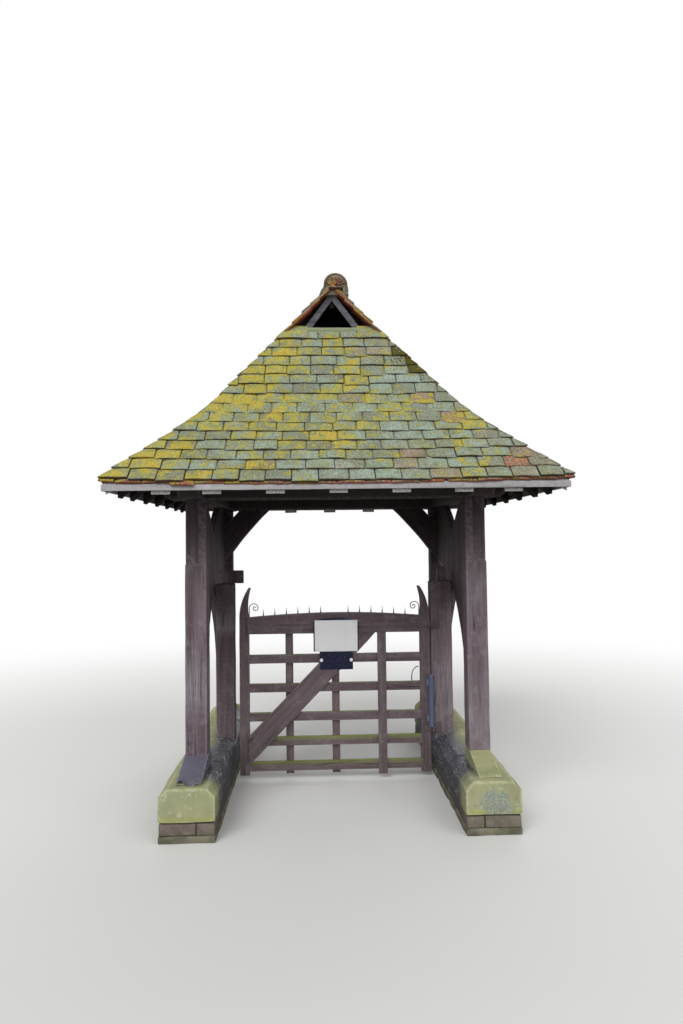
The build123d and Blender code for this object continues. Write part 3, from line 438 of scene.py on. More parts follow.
@dataclass(frozen=True)
class TimberFinish:
    """Old oak: stain gone purple and grey, with grain, cracks, rubbed corners and green tops, darkened by
    painted shade at the heads and where a piece marks it.
    """

    name: str
    deep: Colour
    middle: Colour
    pale: Colour
    silvering: float = 0.5
    head_stain_and_shade: float = 0.0
    moss_cover: float = 0.3
    moss: Colour = srgb(122, 140, 62)
    algae: Colour = srgb(150, 162, 118)
    splash_reach: float = 0.3
    relief: float = 0.0016
    specular: float = 0.3
    head_dark_low: float = 1.45
    head_dark_high: float = 2.0
    fleck: Colour = srgb(206, 200, 206)
    scuff: Colour = srgb(208, 204, 206)
    shade: Colour = srgb(50, 40, 40)
    crack: Colour = srgb(36, 30, 32)
    mud: Colour = srgb(98, 92, 80)
    # Near black for painted shade: under the roof, in the passage, behind the gablets and under the gate's
    # top rail.
    soot: Colour = srgb(4, 4, 4)
    crack_width: float = 0.012
    runs: Texture = Texture(detail=3.0, low=0.4, high=0.72, stretch=(16.0, 16.0, 1.3))
    clouds: Texture = Texture(scale=11.0, detail=5.0, roughness=0.7, low=0.5, high=0.66)
    flecks: Texture = Texture(scale=120.0, detail=2.0, roughness=0.5, low=0.69, high=0.73)

    def build(self, effects: Effects) -> Material:
        """Builds the material.

        Args:
            effects: Shared node groups.

        Returns:
            The material.
        """
        material, graph, shader = start_material(self.name, 0.8, self.specular)
        where = graph.place()
        along = graph.attribute("along", "Vector")
        grain = graph.group(effects.grain, {"Along": along, "Crack Width": self.crack_width})
        colour = graph.mix(graph.step(grain["Tone"], 0.24, 0.76), self.deep, self.middle)
        bleached = graph.times(self.runs.mask(graph, along), graph.step(grain["Fibre"], 0.3, 0.7))
        cloudy = self.clouds.mask(graph, where)
        flecked = self.flecks.mask(graph, where)
        scuffed = graph.times(graph.attribute("patch"), graph.step(grain["Fibre"], 0.36, 0.56))
        height = graph.z_of(where)
        # Painted shade, partly the dark stain kept out of the rain: the timber darkens up towards the post
        # heads and the beams under the eaves.
        head_stain_and_shade_mask = graph.times(graph.step(height, self.head_dark_low, self.head_dark_high), self.head_stain_and_shade)
        wear = graph.group(
            effects.wear, {"Where": where, "Corner": graph.attribute("arris"), "Amount": 0.28}
        )
        growth = graph.group(
            effects.moss, {"Where": where, "Scale": 13.0, "Cover": self.moss_cover, "Lean": 0.6}
        )
        grime = graph.group(effects.grime, {"Where": where, "Reach": self.splash_reach})
        # Specular fades where shade is painted.
        clean = graph.minus(1.0, graph.attribute("soot"))
        graph.tree.links.new(graph.times(clean, self.specular), shader.inputs["Specular IOR Level"])
        roughness = graph.plus(0.62, graph.times(grain["Fibre"], 0.3))
        colour = graph.coats(
            colour,
            (bleached, self.silvering, self.pale),
            (graph.attribute("member"), 0.16, self.deep),
            (cloudy, self.silvering * 0.5, self.pale),
            (flecked, 0.6, self.fleck),
            (scuffed, 1.0, graph.mix(0.35, self.pale, self.scuff)),
            (head_stain_and_shade_mask, 1.0, self.shade),
            (wear["Mask"], 1.0, self.pale),
            (grain["Cracks"], 1.0, self.crack),
            (growth["Mask"], 0.8, self.moss),
            (graph.attribute("moss"), 0.75, self.algae),
            (grime["Splash"], 0.3, self.mud),
            # Painted shade, near black.
            (graph.attribute("soot"), 1.0, self.soot),
        )
        dress_surface(graph, shader, colour, roughness, grain["Height"], self.relief)
        return material


@dataclass(frozen=True)
class TileFinish:
    """Old clay tiles under pale crust, yellow lichen and olive moss, with bare clay at edges and breaks, and
    dirt with painted shade along the tails.
    """

    name: str
    crust_blue: Colour = srgb(152, 176, 160)
    crust_grey: Colour = srgb(140, 146, 118)
    clay: Colour = srgb(168, 92, 64)
    burnt: Colour = srgb(122, 90, 76)
    lichen: Colour = srgb(186, 180, 62)
    lichen_core: Colour = srgb(206, 174, 46)
    moss: Colour = srgb(104, 98, 38)
    # Dark of dirt and painted shade for the tile tails.
    tail_grime_and_shade_tone: Colour = srgb(38, 36, 28)
    tint_dark: Colour = srgb(116, 118, 104)
    tint_light: Colour = srgb(168, 188, 180)
    film: Colour = srgb(92, 100, 88)
    speck_dark: Colour = srgb(62, 66, 54)
    speck_light: Colour = srgb(194, 206, 196)
    rosette: Colour = srgb(208, 212, 196)
    pit: Colour = srgb(74, 76, 58)
    granule_light: Colour = srgb(214, 218, 200)
    granule_dark: Colour = srgb(72, 74, 54)
    moss_deep: Colour = srgb(58, 56, 20)
    under_red: Colour = srgb(184, 90, 60)
    under_brown: Colour = srgb(124, 72, 54)
    lichen_green: Colour = srgb(146, 152, 76)
    lichen_dark: Colour = srgb(96, 96, 48)
    lichen_pale: Colour = srgb(214, 214, 168)
    broad: Texture = Texture(scale=6.0)
    field_tone: Texture = Texture(scale=3.4, roughness=0.6)
    speckle: Texture = Texture(scale=210.0, detail=3.0, roughness=0.75)
    grit: Texture = Texture(scale=70.0, roughness=0.7)
    pits: Texture = Texture(scale=46.0, detail=5.0, roughness=0.8, low=0.56, high=0.62)
    granules: Texture = Texture(scale=105.0, detail=2.0, roughness=0.6)
    tufts: Texture = Texture(scale=60.0, roughness=0.7)
    tile_shift: float = 0.05
    tint_spread: float = 7.31
    gold_spread: float = 0.42
    moss_raggedness: float = 1.2
    relief: float = 0.0035

    def build(self, effects: Effects) -> Material:
        """Builds the material.

        Args:
            effects: Shared node groups.

        Returns:
            The material.
        """
        material, graph, shader = start_material(self.name, 0.9, 0.2)
        where = graph.place()
        member = graph.attribute("member")
        offset = graph.times(member, self.tile_shift)
        apart = graph.add("ShaderNodeVectorMath", {0: where, 1: member}, operation="ADD").outputs[0]
        eased = graph.add("ShaderNodeVectorMath", {0: where, 1: offset}, operation="ADD").outputs[0]
        broad = self.broad.value(graph, apart)
        field_tone = self.field_tone.value(graph, where)
        speckle = self.speckle.value(graph, where)
        grit = self.grit.value(graph, where)
        colour = graph.mix(graph.step(broad, 0.36, 0.62), self.crust_blue, self.crust_grey)
        tint = graph.math("FRACT", graph.times(member, self.tint_spread))
        rosettes = graph.group(effects.lichen, {"Where": apart, "Scale": 34.0, "Cover": 0.415, "Fine": 0.45})
        pits = self.pits.mask(graph, where)
        bare = graph.times(graph.attribute("clay"), graph.step(grit, 0.34, 0.52))
        clay = graph.mix(graph.step(broad, 0.4, 0.6), self.clay, self.burnt)
        spread = graph.times(graph.minus(field_tone, 0.5), self.gold_spread)
        cover = graph.plus(graph.attribute("gold"), spread)
        gold = graph.group(effects.lichen, {"Where": eased, "Scale": 15.0, "Cover": cover, "Fine": 0.42})
        yellow = graph.mix(gold["Core"], self.lichen, self.lichen_core)
        yellow = graph.mix(graph.times(graph.step(grit, 0.46, 0.6), 0.55), yellow, self.lichen_green)
        yellow = graph.mix(graph.times(graph.step(speckle, 0.5, 0.64), 0.75), yellow, self.lichen_dark)
        yellow = graph.mix(graph.times(rosettes["Core"], 0.4), yellow, self.lichen_pale)
        granules = self.granules.value(graph, where)
        tufts = self.tufts.value(graph, where)
        ragged = graph.times(graph.minus(tufts, 0.5), self.moss_raggedness)
        mossy = graph.plus(graph.attribute("moss"), ragged)
        mossy = graph.step(mossy, 0.42, 0.6)
        under = graph.minus(1.0, graph.attribute("skin"))
        hidden = graph.minus(1.0, graph.times(graph.attribute("clay"), 0.85))
        # Dirt and painted shade along the tails and sides of each tile, so the course lines fall dark; less
        # where the clay is bare.
        tail_dirt_and_shade = graph.times(graph.attribute("arris"), graph.step(speckle, 0.16, 0.4))
        tail_dirt_and_shade = graph.times(graph.math("MAXIMUM", hidden, 0.0), tail_dirt_and_shade)
        crusty = graph.plus(graph.times(gold["Height"], 0.5), graph.times(speckle, 0.5))
        height = graph.plus(crusty, graph.times(graph.times(mossy, tufts), 2.0))
        colour = graph.coats(
            colour,
            (graph.step(tint, 0.55, 1.0), 0.5, self.tint_dark),
            (graph.step(tint, 0.4, 0.0), 0.35, self.tint_light),
            (graph.step(grit, 0.47, 0.62), 0.5, self.film),
            (graph.step(speckle, 0.52, 0.68), 0.55, self.speck_dark),
            (graph.step(speckle, 0.46, 0.32), 0.5, self.speck_light),
            (rosettes["Mask"], 0.62, self.rosette),
            (pits, 0.6, self.pit),
            (bare, 1.0, clay),
            (gold["Mask"], 0.9, yellow),
            (graph.step(granules, 0.57, 0.68), 0.42, self.granule_light),
            (graph.step(granules, 0.42, 0.32), 0.42, self.granule_dark),
            (mossy, 1.0, graph.mix(tufts, self.moss_deep, self.moss)),
            (under, 1.0, graph.mix(broad, self.under_red, self.under_brown)),
            (tail_dirt_and_shade, 0.9, self.tail_grime_and_shade_tone),
        )
        rough = graph.plus(0.82, graph.times(speckle, 0.15))
        dress_surface(graph, shader, colour, rough, height, self.relief)
        return material


@dataclass(frozen=True)
class StoneFinish:
    """Sandstone coping: buff and grey, green on top, rubbed grey and slick on the inner side."""

    name: str
    body: Colour = srgb(182, 180, 146)
    stained: Colour = srgb(140, 140, 120)
    growth: Colour = srgb(172, 176, 128)
    bright: Colour = srgb(150, 170, 56)
    rubbed: Colour = srgb(74, 74, 84)
    moss_cover: float = 0.36
    relief: float = 0.004
    roll_low: float = 0.135
    roll_high: float = 0.168
    moss_deep: Colour = srgb(104, 118, 48)
    blot_dark: Colour = srgb(122, 134, 130)
    blot_light: Colour = srgb(188, 202, 206)
    streaked: Colour = srgb(128, 134, 140)
    scored: Colour = srgb(190, 196, 198)
    rubbed_dark: Colour = srgb(52, 52, 58)
    other_stone: Colour = srgb(124, 114, 92)
    pore: Colour = srgb(84, 84, 70)
    crust: Colour = srgb(202, 206, 170)
    damp_roll: Colour = srgb(172, 178, 92)
    corner: Colour = srgb(208, 210, 176)
    mud: Colour = srgb(92, 88, 72)
    broad: Texture = Texture(scale=4.0, detail=5.0, roughness=0.6)
    grit: Texture = Texture(scale=150.0, roughness=0.75)
    dots: Texture = Texture(scale=90.0, roughness=0.8, low=0.46, high=0.66)
    lobes: Texture = Texture(scale=16.0, roughness=0.6)
    scores: Texture = Texture(detail=3.0, roughness=0.6, stretch=(22.0, 5.0, 22.0))
    roll_waviness: float = 0.05
    lobe_reach: float = 2.2
    blot_raggedness: float = 0.9
    score_width: float = 0.016

    def build(self, effects: Effects) -> Material:
        """Builds the material.

        Args:
            effects: Shared node groups.

        Returns:
            The material.
        """
        material, graph, shader = start_material(self.name, 0.9, 0.25)
        where = graph.place()
        broad = self.broad.value(graph, where)
        grit = self.grit.value(graph, where)
        colour = graph.mix(graph.step(broad, 0.36, 0.64), self.body, self.stained)
        film = graph.group(effects.lichen, {"Where": where, "Scale": 5.0, "Cover": 0.6, "Fine": 0.3})
        pale = graph.group(effects.lichen, {"Where": where, "Scale": 17.0, "Cover": 0.43, "Fine": 0.3})
        moss = graph.group(
            effects.moss, {"Where": where, "Scale": 6.0, "Cover": self.moss_cover, "Lean": 0.45}
        )
        green = graph.mix(moss["Tone"], self.moss_deep, self.bright)
        height_z = graph.z_of(where)
        wavy = graph.plus(height_z, graph.times(graph.minus(broad, 0.5), self.roll_waviness))
        roll = graph.times(graph.step(wavy, self.roll_high, self.roll_low), graph.step(grit, 0.3, 0.5))
        lobes = graph.times(graph.minus(self.lobes.value(graph, where), 0.5), self.lobe_reach)
        ragged = graph.times(graph.minus(grit, 0.5), self.blot_raggedness)
        blot = graph.plus(graph.attribute("patch"), ragged)
        blot = graph.plus(blot, graph.times(lobes, graph.step(graph.attribute("patch"), 0.05, 0.4)))
        blot = graph.step(blot, 0.3, 0.7)
        speckled = graph.mix(self.dots.mask(graph, where), self.blot_dark, self.blot_light)
        wear = graph.group(
            effects.wear, {"Where": where, "Corner": graph.attribute("arris"), "Amount": 0.42}
        )
        grime = graph.group(effects.grime, {"Where": where, "Reach": 0.16})
        slick = graph.times(graph.attribute("rub"), graph.step(broad, 0.08, 0.3))
        streak = self.scores.value(graph, where)
        scored = graph.math("ABSOLUTE", graph.minus(streak, 0.5))
        scored = graph.times(graph.step(scored, self.score_width, 0.0), graph.step(broad, 0.36, 0.5))
        worn = graph.mix(graph.step(streak, 0.58, 0.72), self.rubbed, self.streaked)
        worn = graph.mix(scored, worn, self.scored)
        worn = graph.mix(graph.times(graph.step(grit, 0.45, 0.6), 0.4), worn, self.rubbed_dark)
        rough = graph.minus(0.92, graph.times(slick, 0.45))
        relief = graph.plus(graph.times(grit, 0.45), graph.times(broad, 0.4))
        height = graph.plus(relief, graph.times(moss["Height"], 0.5))
        colour = graph.coats(
            colour,
            (graph.attribute("member"), 0.2, self.other_stone),
            (graph.step(grit, 0.52, 0.7), 0.35, self.pore),
            (film["Mask"], 0.5, self.growth),
            (pale["Mask"], 0.5, self.crust),
            (moss["Mask"], 0.7, green),
            (roll, 0.75, self.damp_roll),
            (blot, 0.7, speckled),
            (wear["Mask"], 1.0, self.corner),
            (grime["Splash"], 0.22, self.mud),
            (slick, 1.0, worn),
        )
        dress_surface(graph, shader, colour, rough, height, self.relief)
        return material


@dataclass(frozen=True)
class BrickFinish:
    """Footing bricks: brown and buff, sooty, with pale bloom and green at the foot."""

    name: str
    fired: Colour = srgb(122, 110, 104)
    buff: Colour = srgb(132, 126, 112)
    relief: float = 0.003
    dull: Colour = srgb(92, 84, 74)
    soot: Colour = srgb(60, 54, 48)
    bloom: Colour = srgb(138, 142, 102)
    mud: Colour = srgb(96, 94, 80)
    rubbed: Colour = srgb(78, 78, 80)
    rubbed_light: Colour = srgb(158, 160, 160)
    grit: Texture = Texture(scale=170.0, roughness=0.7)
    broad: Texture = Texture(scale=16.0, detail=5.0, roughness=0.6)
    streaks: Texture = Texture(detail=5.0, roughness=0.65, low=0.56, high=0.7, stretch=(26.0, 3.0, 26.0))

    def build(self, effects: Effects) -> Material:
        """Builds the material.

        Args:
            effects: Shared node groups.

        Returns:
            The material.
        """
        material, graph, shader = start_material(self.name, 0.92, 0.2)
        where = graph.place()
        grit = self.grit.value(graph, where)
        broad = self.broad.value(graph, where)
        colour = graph.mix(graph.attribute("member"), self.fired, self.buff)
        film = graph.group(effects.lichen, {"Where": where, "Scale": 13.0, "Cover": 0.45})
        grime = graph.group(effects.grime, {"Where": where, "Reach": 0.07})
        slick = graph.times(graph.attribute("rub"), 0.75)
        streaked = self.streaks.mask(graph, where)
        height = graph.plus(graph.times(grit, 0.5), graph.times(broad, 0.5))
        rough = graph.plus(0.78, graph.times(grit, 0.2))
        colour = graph.coats(
            colour,
            (graph.step(broad, 0.4, 0.62), 0.5, self.dull),
            (graph.step(grit, 0.52, 0.68), 0.4, self.soot),
            (film["Mask"], 0.4, self.bloom),
            (grime["Splash"], 0.4, self.mud),
            (slick, 1.0, graph.mix(streaked, self.rubbed, self.rubbed_light)),
        )
        dress_surface(graph, shader, colour, rough, height, self.relief)
        return material


@dataclass(frozen=True)
class MortarFinish:
    """Lime mortar: grey, gritty, and stained where water runs."""

    name: str
    body: Colour = srgb(150, 146, 130)
    stain: Colour = srgb(104, 104, 86)
    relief: float = 0.004
    gritty: Colour = srgb(78, 76, 64)
    growth: Colour = srgb(146, 150, 96)
    mud: Colour = srgb(96, 94, 80)
    soot: Colour = srgb(50, 48, 40)
    grit: Texture = Texture(scale=220.0, roughness=0.75)
    damp: Texture = Texture(scale=9.0, detail=5.0, roughness=0.6, low=0.36, high=0.62)

    def build(self, effects: Effects) -> Material:
        """Builds the material.

        Args:
            effects: Shared node groups.

        Returns:
            The material.
        """
        material, graph, shader = start_material(self.name, 0.95, 0.15)
        where = graph.place()
        grit = self.grit.value(graph, where)
        colour = graph.mix(self.damp.mask(graph, where), self.body, self.stain)
        film = graph.group(effects.lichen, {"Where": where, "Scale": 14.0, "Cover": 0.46})
        grime = graph.group(effects.grime, {"Where": where, "Reach": 0.06})
        colour = graph.coats(
            colour,
            (graph.step(grit, 0.5, 0.66), 0.45, self.gritty),
            (film["Mask"], 0.5, self.growth),
            (grime["Splash"], 0.3, self.mud),
            (graph.attribute("soot"), 1.0, self.soot),
        )
        dress_surface(graph, shader, colour, graph.plus(0.8, graph.times(grit, 0.2)), grit, self.relief)
        return material


@dataclass(frozen=True)
class IronFinish:
    """Forged iron: dark, with worn paint and rust breaking through."""

    name: str
    paint: Colour = srgb(44, 42, 46)
    rust: Colour = srgb(104, 66, 46)
    rust_cover: float = 0.42
    relief: float = 0.0008
    rust_deep: Colour = srgb(66, 44, 36)
    worn: Colour = srgb(112, 104, 100)
    grit: Texture = Texture(scale=500.0, detail=3.0, roughness=0.7)

    def build(self, effects: Effects) -> Material:
        """Builds the material.

        Args:
            effects: Shared node groups.

        Returns:
            The material.
        """
        material, graph, shader = start_material(self.name, 0.55, 0.5)
        where = graph.place()
        patches = graph.group(effects.lichen, {"Where": where, "Scale": 34.0, "Cover": self.rust_cover})
        grit = self.grit.value(graph, where)
        colour = graph.mix(patches["Mask"], self.paint, graph.mix(grit, self.rust, self.rust_deep))
        wear = graph.group(effects.wear, {"Where": where, "Corner": graph.attribute("arris"), "Amount": 0.6})
        rough = graph.plus(0.42, graph.times(patches["Mask"], 0.4))
        height = graph.plus(graph.times(patches["Height"], 0.6), graph.times(grit, 0.4))
        colour = graph.mix(wear["Mask"], colour, self.worn)
        dress_surface(graph, shader, colour, rough, height, self.relief)
        return material


@dataclass(frozen=True)
class PaintFinish:
    """Painted metal plate: one colour, scuffed and streaked with run-off."""

    name: str
    paint: Colour
    worn: Colour
    streak: Colour
    streak_share: float = 0.35
    scuff_share: float = 0.5
    speck_share: float = 0.0
    specular: float = 0.5
    roughness: float = 0.42
    relief: float = 0.0004
    speck: Colour = srgb(196, 198, 206)
    specks: Texture = Texture(scale=130.0, detail=3.0, roughness=0.7, low=0.62, high=0.68)
    fine: Texture = Texture(scale=320.0, detail=3.0, roughness=0.6)

    def build(self, effects: Effects) -> Material:
        """Builds the material.

        Args:
            effects: Shared node groups.

        Returns:
            The material.
        """
        material, graph, shader = start_material(self.name, self.roughness, self.specular)
        where = graph.place()
        grime = graph.group(effects.grime, {"Where": where, "Reach": 0.05})
        runs = graph.times(graph.step(grime["Streaks"], 0.5, 0.72), self.streak_share)
        colour = graph.mix(runs, self.paint, self.streak)
        scuffs = graph.group(effects.lichen, {"Where": where, "Scale": 40.0, "Cover": 0.36})
        specked = self.specks.mask(graph, where)
        wear = graph.group(effects.wear, {"Where": where, "Corner": graph.attribute("arris"), "Amount": 0.8})
        fine = self.fine.value(graph, where)
        rough = graph.plus(self.roughness - 0.08, graph.times(fine, 0.22))
        colour = graph.coats(
            colour,
            (scuffs["Mask"], self.scuff_share, self.worn),
            (specked, self.speck_share, self.speck),
            (wear["Mask"], 1.0, self.worn),
        )
        dress_surface(graph, shader, colour, rough, fine, self.relief)
        return material


class Finishes:
    """Every material, built once."""

    def __init__(self, effects: Effects) -> None:
        """Builds the materials from their finishes.

        Args:
            effects: Shared node groups.
        """
        self.oak = TimberFinish(
            "oak_frame",
            deep=srgb(86, 73, 79),
            middle=srgb(114, 99, 106),
            pale=srgb(152, 142, 150),
            silvering=0.55,
            head_stain_and_shade=0.75,
        ).build(effects)
        # A darker copy of the oak for the roof timbers and battens: painted shade. Its pale is the grey of
        # the bleached rafter feet.
        self.soffit = TimberFinish(
            "oak_soffit",
            deep=srgb(54, 46, 44),
            middle=srgb(76, 66, 62),
            pale=srgb(178, 176, 174),
            silvering=0.1,
            moss_cover=0.1,
        ).build(effects)
        self.board = TimberFinish(
            "weathered_board",
            deep=srgb(142, 138, 138),
            middle=srgb(168, 166, 168),
            pale=srgb(198, 198, 200),
            silvering=0.7,
        ).build(effects)
        self.gate = TimberFinish(
            "gate_timber",
            deep=srgb(88, 74, 78),
            middle=srgb(112, 97, 102),
            pale=srgb(158, 146, 150),
            silvering=0.45,
            moss_cover=0.62,
            algae=srgb(126, 138, 64),
        ).build(effects)
        # Gablet boards: weathered grey, darkened further as painted shade.
        self.gablet = TimberFinish(
            "gablet_board",
            deep=srgb(66, 64, 72),
            middle=srgb(90, 88, 96),
            pale=srgb(128, 128, 136),
            silvering=0.6,
        ).build(effects)
        self.tile = TileFinish("clay_tile").build(effects)
        self.stone = StoneFinish("coping_stone").build(effects)
        self.mossy_stone = StoneFinish(
            "mossy_stool",
            growth=srgb(154, 158, 108),
            moss_cover=0.42,
        ).build(effects)
        self.brick = BrickFinish("footing_brick").build(effects)
        self.mortar = MortarFinish("lime_mortar").build(effects)
        self.iron = IronFinish("grey_iron", paint=srgb(112, 110, 114), rust=srgb(96, 78, 68)).build(effects)
        self.stained_iron = IronFinish(
            "stained_iron", paint=srgb(90, 78, 82), rust=srgb(96, 74, 64)
        ).build(effects)
        self.tube = PaintFinish(
            "tube_grey", paint=srgb(94, 102, 130), worn=srgb(146, 152, 168), streak=srgb(66, 70, 84)
        ).build(effects)
        self.white = PaintFinish(
            "notice_white",
            paint=srgb(246, 247, 250),
            worn=srgb(226, 228, 230),
            streak=srgb(222, 222, 216),
            streak_share=0.12,
        ).build(effects)
        self.navy = PaintFinish(
            "notice_navy",
            paint=srgb(34, 36, 60),
            worn=srgb(92, 96, 132),
            streak=srgb(50, 52, 80),
            streak_share=0.2,
            scuff_share=0.3,
            speck_share=0.6,
            specular=0.15,
            roughness=0.7,
        ).build(effects)
        self.lead = PaintFinish(
            "lead_dressing",
            paint=srgb(94, 92, 106),
            worn=srgb(150, 152, 164),
            streak=srgb(66, 64, 72),
            roughness=0.6,
            speck_share=0.4,
        ).build(effects)


# Mesh work


@dataclass
class Layers:
    """Values that each point of a piece carries for the finishes."""

    mesh: Mesh
    # One of these values darkens points: painted shade on the timbers, and the fill mortar drawn darker.
    NUMBERS = ("member", "arris", "gold", "clay", "moss", "skin", "rub", "soot", "patch")

    def __post_init__(self) -> None:
        """Adds a layer for each value that the mesh doesn't have."""
        floats = self.mesh.verts.layers.float
        self.numbers = {name: floats.get(name) or floats.new(name) for name in self.NUMBERS}
        vectors = self.mesh.verts.layers.float_vector
        self.along = vectors.get("along") or vectors.new("along")

    def mark(self, points: Iterable[Point], **values: float) -> None:
        """Gives the same values to some points."""
        for point, (name, value) in product(points, values.items()):
            point[self.numbers[name]] = value


def fresh_mesh() -> tuple[Mesh, Layers]:
    """Starts an empty mesh with its layers."""
    mesh = bmesh.new()
    return mesh, Layers(mesh)


def islands(mesh: bpy.types.Mesh) -> list[Solid]:
    """Splits a mesh into its loose solids.

    Args:
        mesh: The mesh, with doubled points.

    Returns:
        For each solid its points, and its faces as point numbers.
    """
    whole = bmesh.new()
    whole.from_mesh(mesh)
    weld, flat = 2e-5, math.radians(0.6)
    bmesh.ops.remove_doubles(whole, verts=whole.verts[:], dist=weld)
    bmesh.ops.dissolve_limit(whole, angle_limit=flat, verts=whole.verts[:], edges=whole.edges[:])
    found, seen = [], set()
    for start_face in whole.faces:
        if start_face in seen:
            continue
        seen.add(start_face)
        group, queue = [], [start_face]
        while queue:
            face = queue.pop()
            group.append(face)
            for edge in face.edges:
                for other in edge.link_faces:
                    if other not in seen:
                        seen.add(other)
                        queue.append(other)
        numbers: dict[Point, int] = {}
        for face in group:
            for vert in face.verts:
                numbers.setdefault(vert, len(numbers))
        points = [vert.co.copy() for vert in numbers]
        found.append((points, [[numbers[vert] for vert in face.verts] for face in group]))
    whole.free()
    return found


def long_axes(points: list[Vector]) -> Matrix:
    """Finds the frame of a solid whose third axis runs along it.

    Args:
        points: Points of the solid.

    Returns:
        The rotation from the solid's own axes to the frame's.
    """
    rounds, least = 12, 1e-9
    best, spread = Vector((0.0, 0.0, 1.0)), -1.0
    for first in points:
        for second in points:
            reach = (second - first).length
            if reach > spread:
                best, spread = second - first, reach
    frame_axes = [Vector(axis) for axis in ((1, 0, 0), (0, 1, 0), (0, 0, 1))]
    centre = sum(points, Vector()) / len(points)
    direction = best.normalized()
    for _ in range(rounds):
        pulled = Vector()
        for point in points:
            offset = point - centre
            pulled += offset * offset.dot(direction)
        if pulled.length < least:
            break
        direction = pulled.normalized()
    side = min(frame_axes, key=lambda axis: abs(axis.dot(direction)))
    first_axis = side.cross(direction).normalized()
    second_axis = direction.cross(first_axis)
    return Matrix((first_axis, second_axis, direction)).transposed()


@dataclass(frozen=True)
class Weathering:
    """How a clean solid is worn: rounded corners, a fine mesh, and a surface that wanders."""

    arris: float = 0.004
    step: float = 0.08
    across: float = 0.07
    wander: float = 0.0014
    wander_scale: float = 7.0
    rough: float = 0.0
    rough_scale: float = 40.0
    corner_angle: float = math.radians(28)
    apart: tuple[float, float, float] = (31.7, 17.3, 53.9)

    def work(self, target: Mesh, points: list[Vector], faces: list[list[int]], member: float) -> list[Point]:
        """Adds one worn solid to a mesh.

        Args:
            target: Mesh that the solid goes into.
            points: Points of the clean solid.
            faces: Its faces as point numbers.
            member: Random number from 0 to 1 that tells the solid from its neighbours.

        Returns:
            The solid's new points in the mesh.
        """
        solid, layers = fresh_mesh()
        verts = [solid.verts.new(point) for point in points]
        for face in faces:
            if len(set(face)) > 2 and not solid.faces.get([verts[n] for n in face]):
                solid.faces.new([verts[n] for n in face])
        bmesh.ops.recalc_face_normals(solid, faces=solid.faces[:])
        paired = [edge for edge in solid.edges if len(edge.link_faces) == 2]
        sharp = [edge for edge in paired if edge.calc_face_angle(0.0) > self.corner_angle]
        strip = solid.faces.layers.int.new("strip")
        if self.arris > 0 and sharp:
            made = bmesh.ops.bevel(
                solid,
                geom=sharp,
                offset=self.arris,
                segments=2,
                profile=0.6,
                affect="EDGES",
                clamp_overlap=True,
            )
            for face in made["faces"]:
                face[strip] = 1
        turn = long_axes(points)
        inverse = turn.transposed()
        for axis, gap in ((2, self.step), (0, self.across), (1, self.across)):
            reach = [(inverse @ vert.co)[axis] for vert in solid.verts]
            low, high = min(reach), max(reach)
            count = int((high - low) / gap)
            for n in range(1, count + 1):
                level = low + (high - low) * n / (count + 1)
                normal = turn.col[axis]
                geometry = solid.verts[:] + solid.edges[:] + solid.faces[:]
                bmesh.ops.bisect_plane(
                    solid, geom=geometry, dist=5e-4, plane_co=normal * level, plane_no=normal
                )
        for vert in solid.verts:
            layers.mark([vert], arris=float(any(face[strip] for face in vert.link_faces)))
        solid.faces.layers.int.remove(strip)
        shift = Vector([member * reach for reach in self.apart])
        solid.normal_update()
        moves = []
        for vert in solid.verts:
            slow = noise.noise(vert.co * self.wander_scale + shift) * self.wander
            quick = noise.noise(vert.co * self.rough_scale + shift) * self.rough if self.rough else 0.0
            moves.append(vert.normal * (slow + quick))
            vert[layers.along] = inverse @ vert.co + shift
        layers.mark(solid.verts, member=member)
        for vert, move in zip(solid.verts, moves):
            vert.co += move
        return append(target, solid)


def append(target: Mesh, part: Mesh) -> list[Point]:
    """Adds a part to a mesh with its layers, and frees the part.

    Args:
        target: Mesh that the part goes into.
        part: The part.

    Returns:
        The new points.
    """
    before = len(target.verts)
    carrier = bpy.data.meshes.new("part")
    part.to_mesh(carrier)
    part.free()
    target.from_mesh(carrier)
    bpy.data.meshes.remove(carrier)
    target.verts.ensure_lookup_table()
    return target.verts[before:]


def cut_solid(solid: Mesh, place: Vector, normal: Vector) -> None:
    """Cuts a closed mesh by a plane, drops the side the normal points to, and closes it again.

    Args:
        solid: The mesh.
        place: A point of the plane.
        normal: Direction of the side that goes.
    """
    geometry = solid.verts[:] + solid.edges[:] + solid.faces[:]
    bmesh.ops.bisect_plane(
        solid, geom=geometry, dist=1e-5, plane_co=place, plane_no=normal, clear_outer=True
    )
    rim = [edge for edge in solid.edges if edge.is_boundary]
    if rim:
        bmesh.ops.holes_fill(solid, edges=rim, sides=0)


def join_rings(mesh: Mesh, rings: list[list[Point]]) -> None:
    """Joins rings of points by faces, and closes both ends.

    Args:
        mesh: Mesh of the points.
        rings: The rings, each with as many points.
    """
    for near, far in zip(rings, rings[1:]):
        for n in range(len(near)):
            after = (n + 1) % len(near)
            mesh.faces.new((near[n], near[after], far[after], far[n]))
    mesh.faces.new(rings[0][::-1])
    mesh.faces.new(rings[-1])


def box_solid(low: Sequence[float], high: Sequence[float]) -> Solid:
    """Gives a squared block as points and faces.

    Args:
        low: Lowest corner.
        high: Highest corner.

    Returns:
        Its points and its faces.
    """
    points = [
        Vector((x, y, z))
        for x in (low[0], high[0]) for y in (low[1], high[1]) for z in (low[2], high[2])
    ]
    faces = [[0, 1, 3, 2], [4, 6, 7, 5], [0, 4, 5, 1], [2, 3, 7, 6], [0, 2, 6, 4], [1, 5, 7, 3]]
    return points, faces


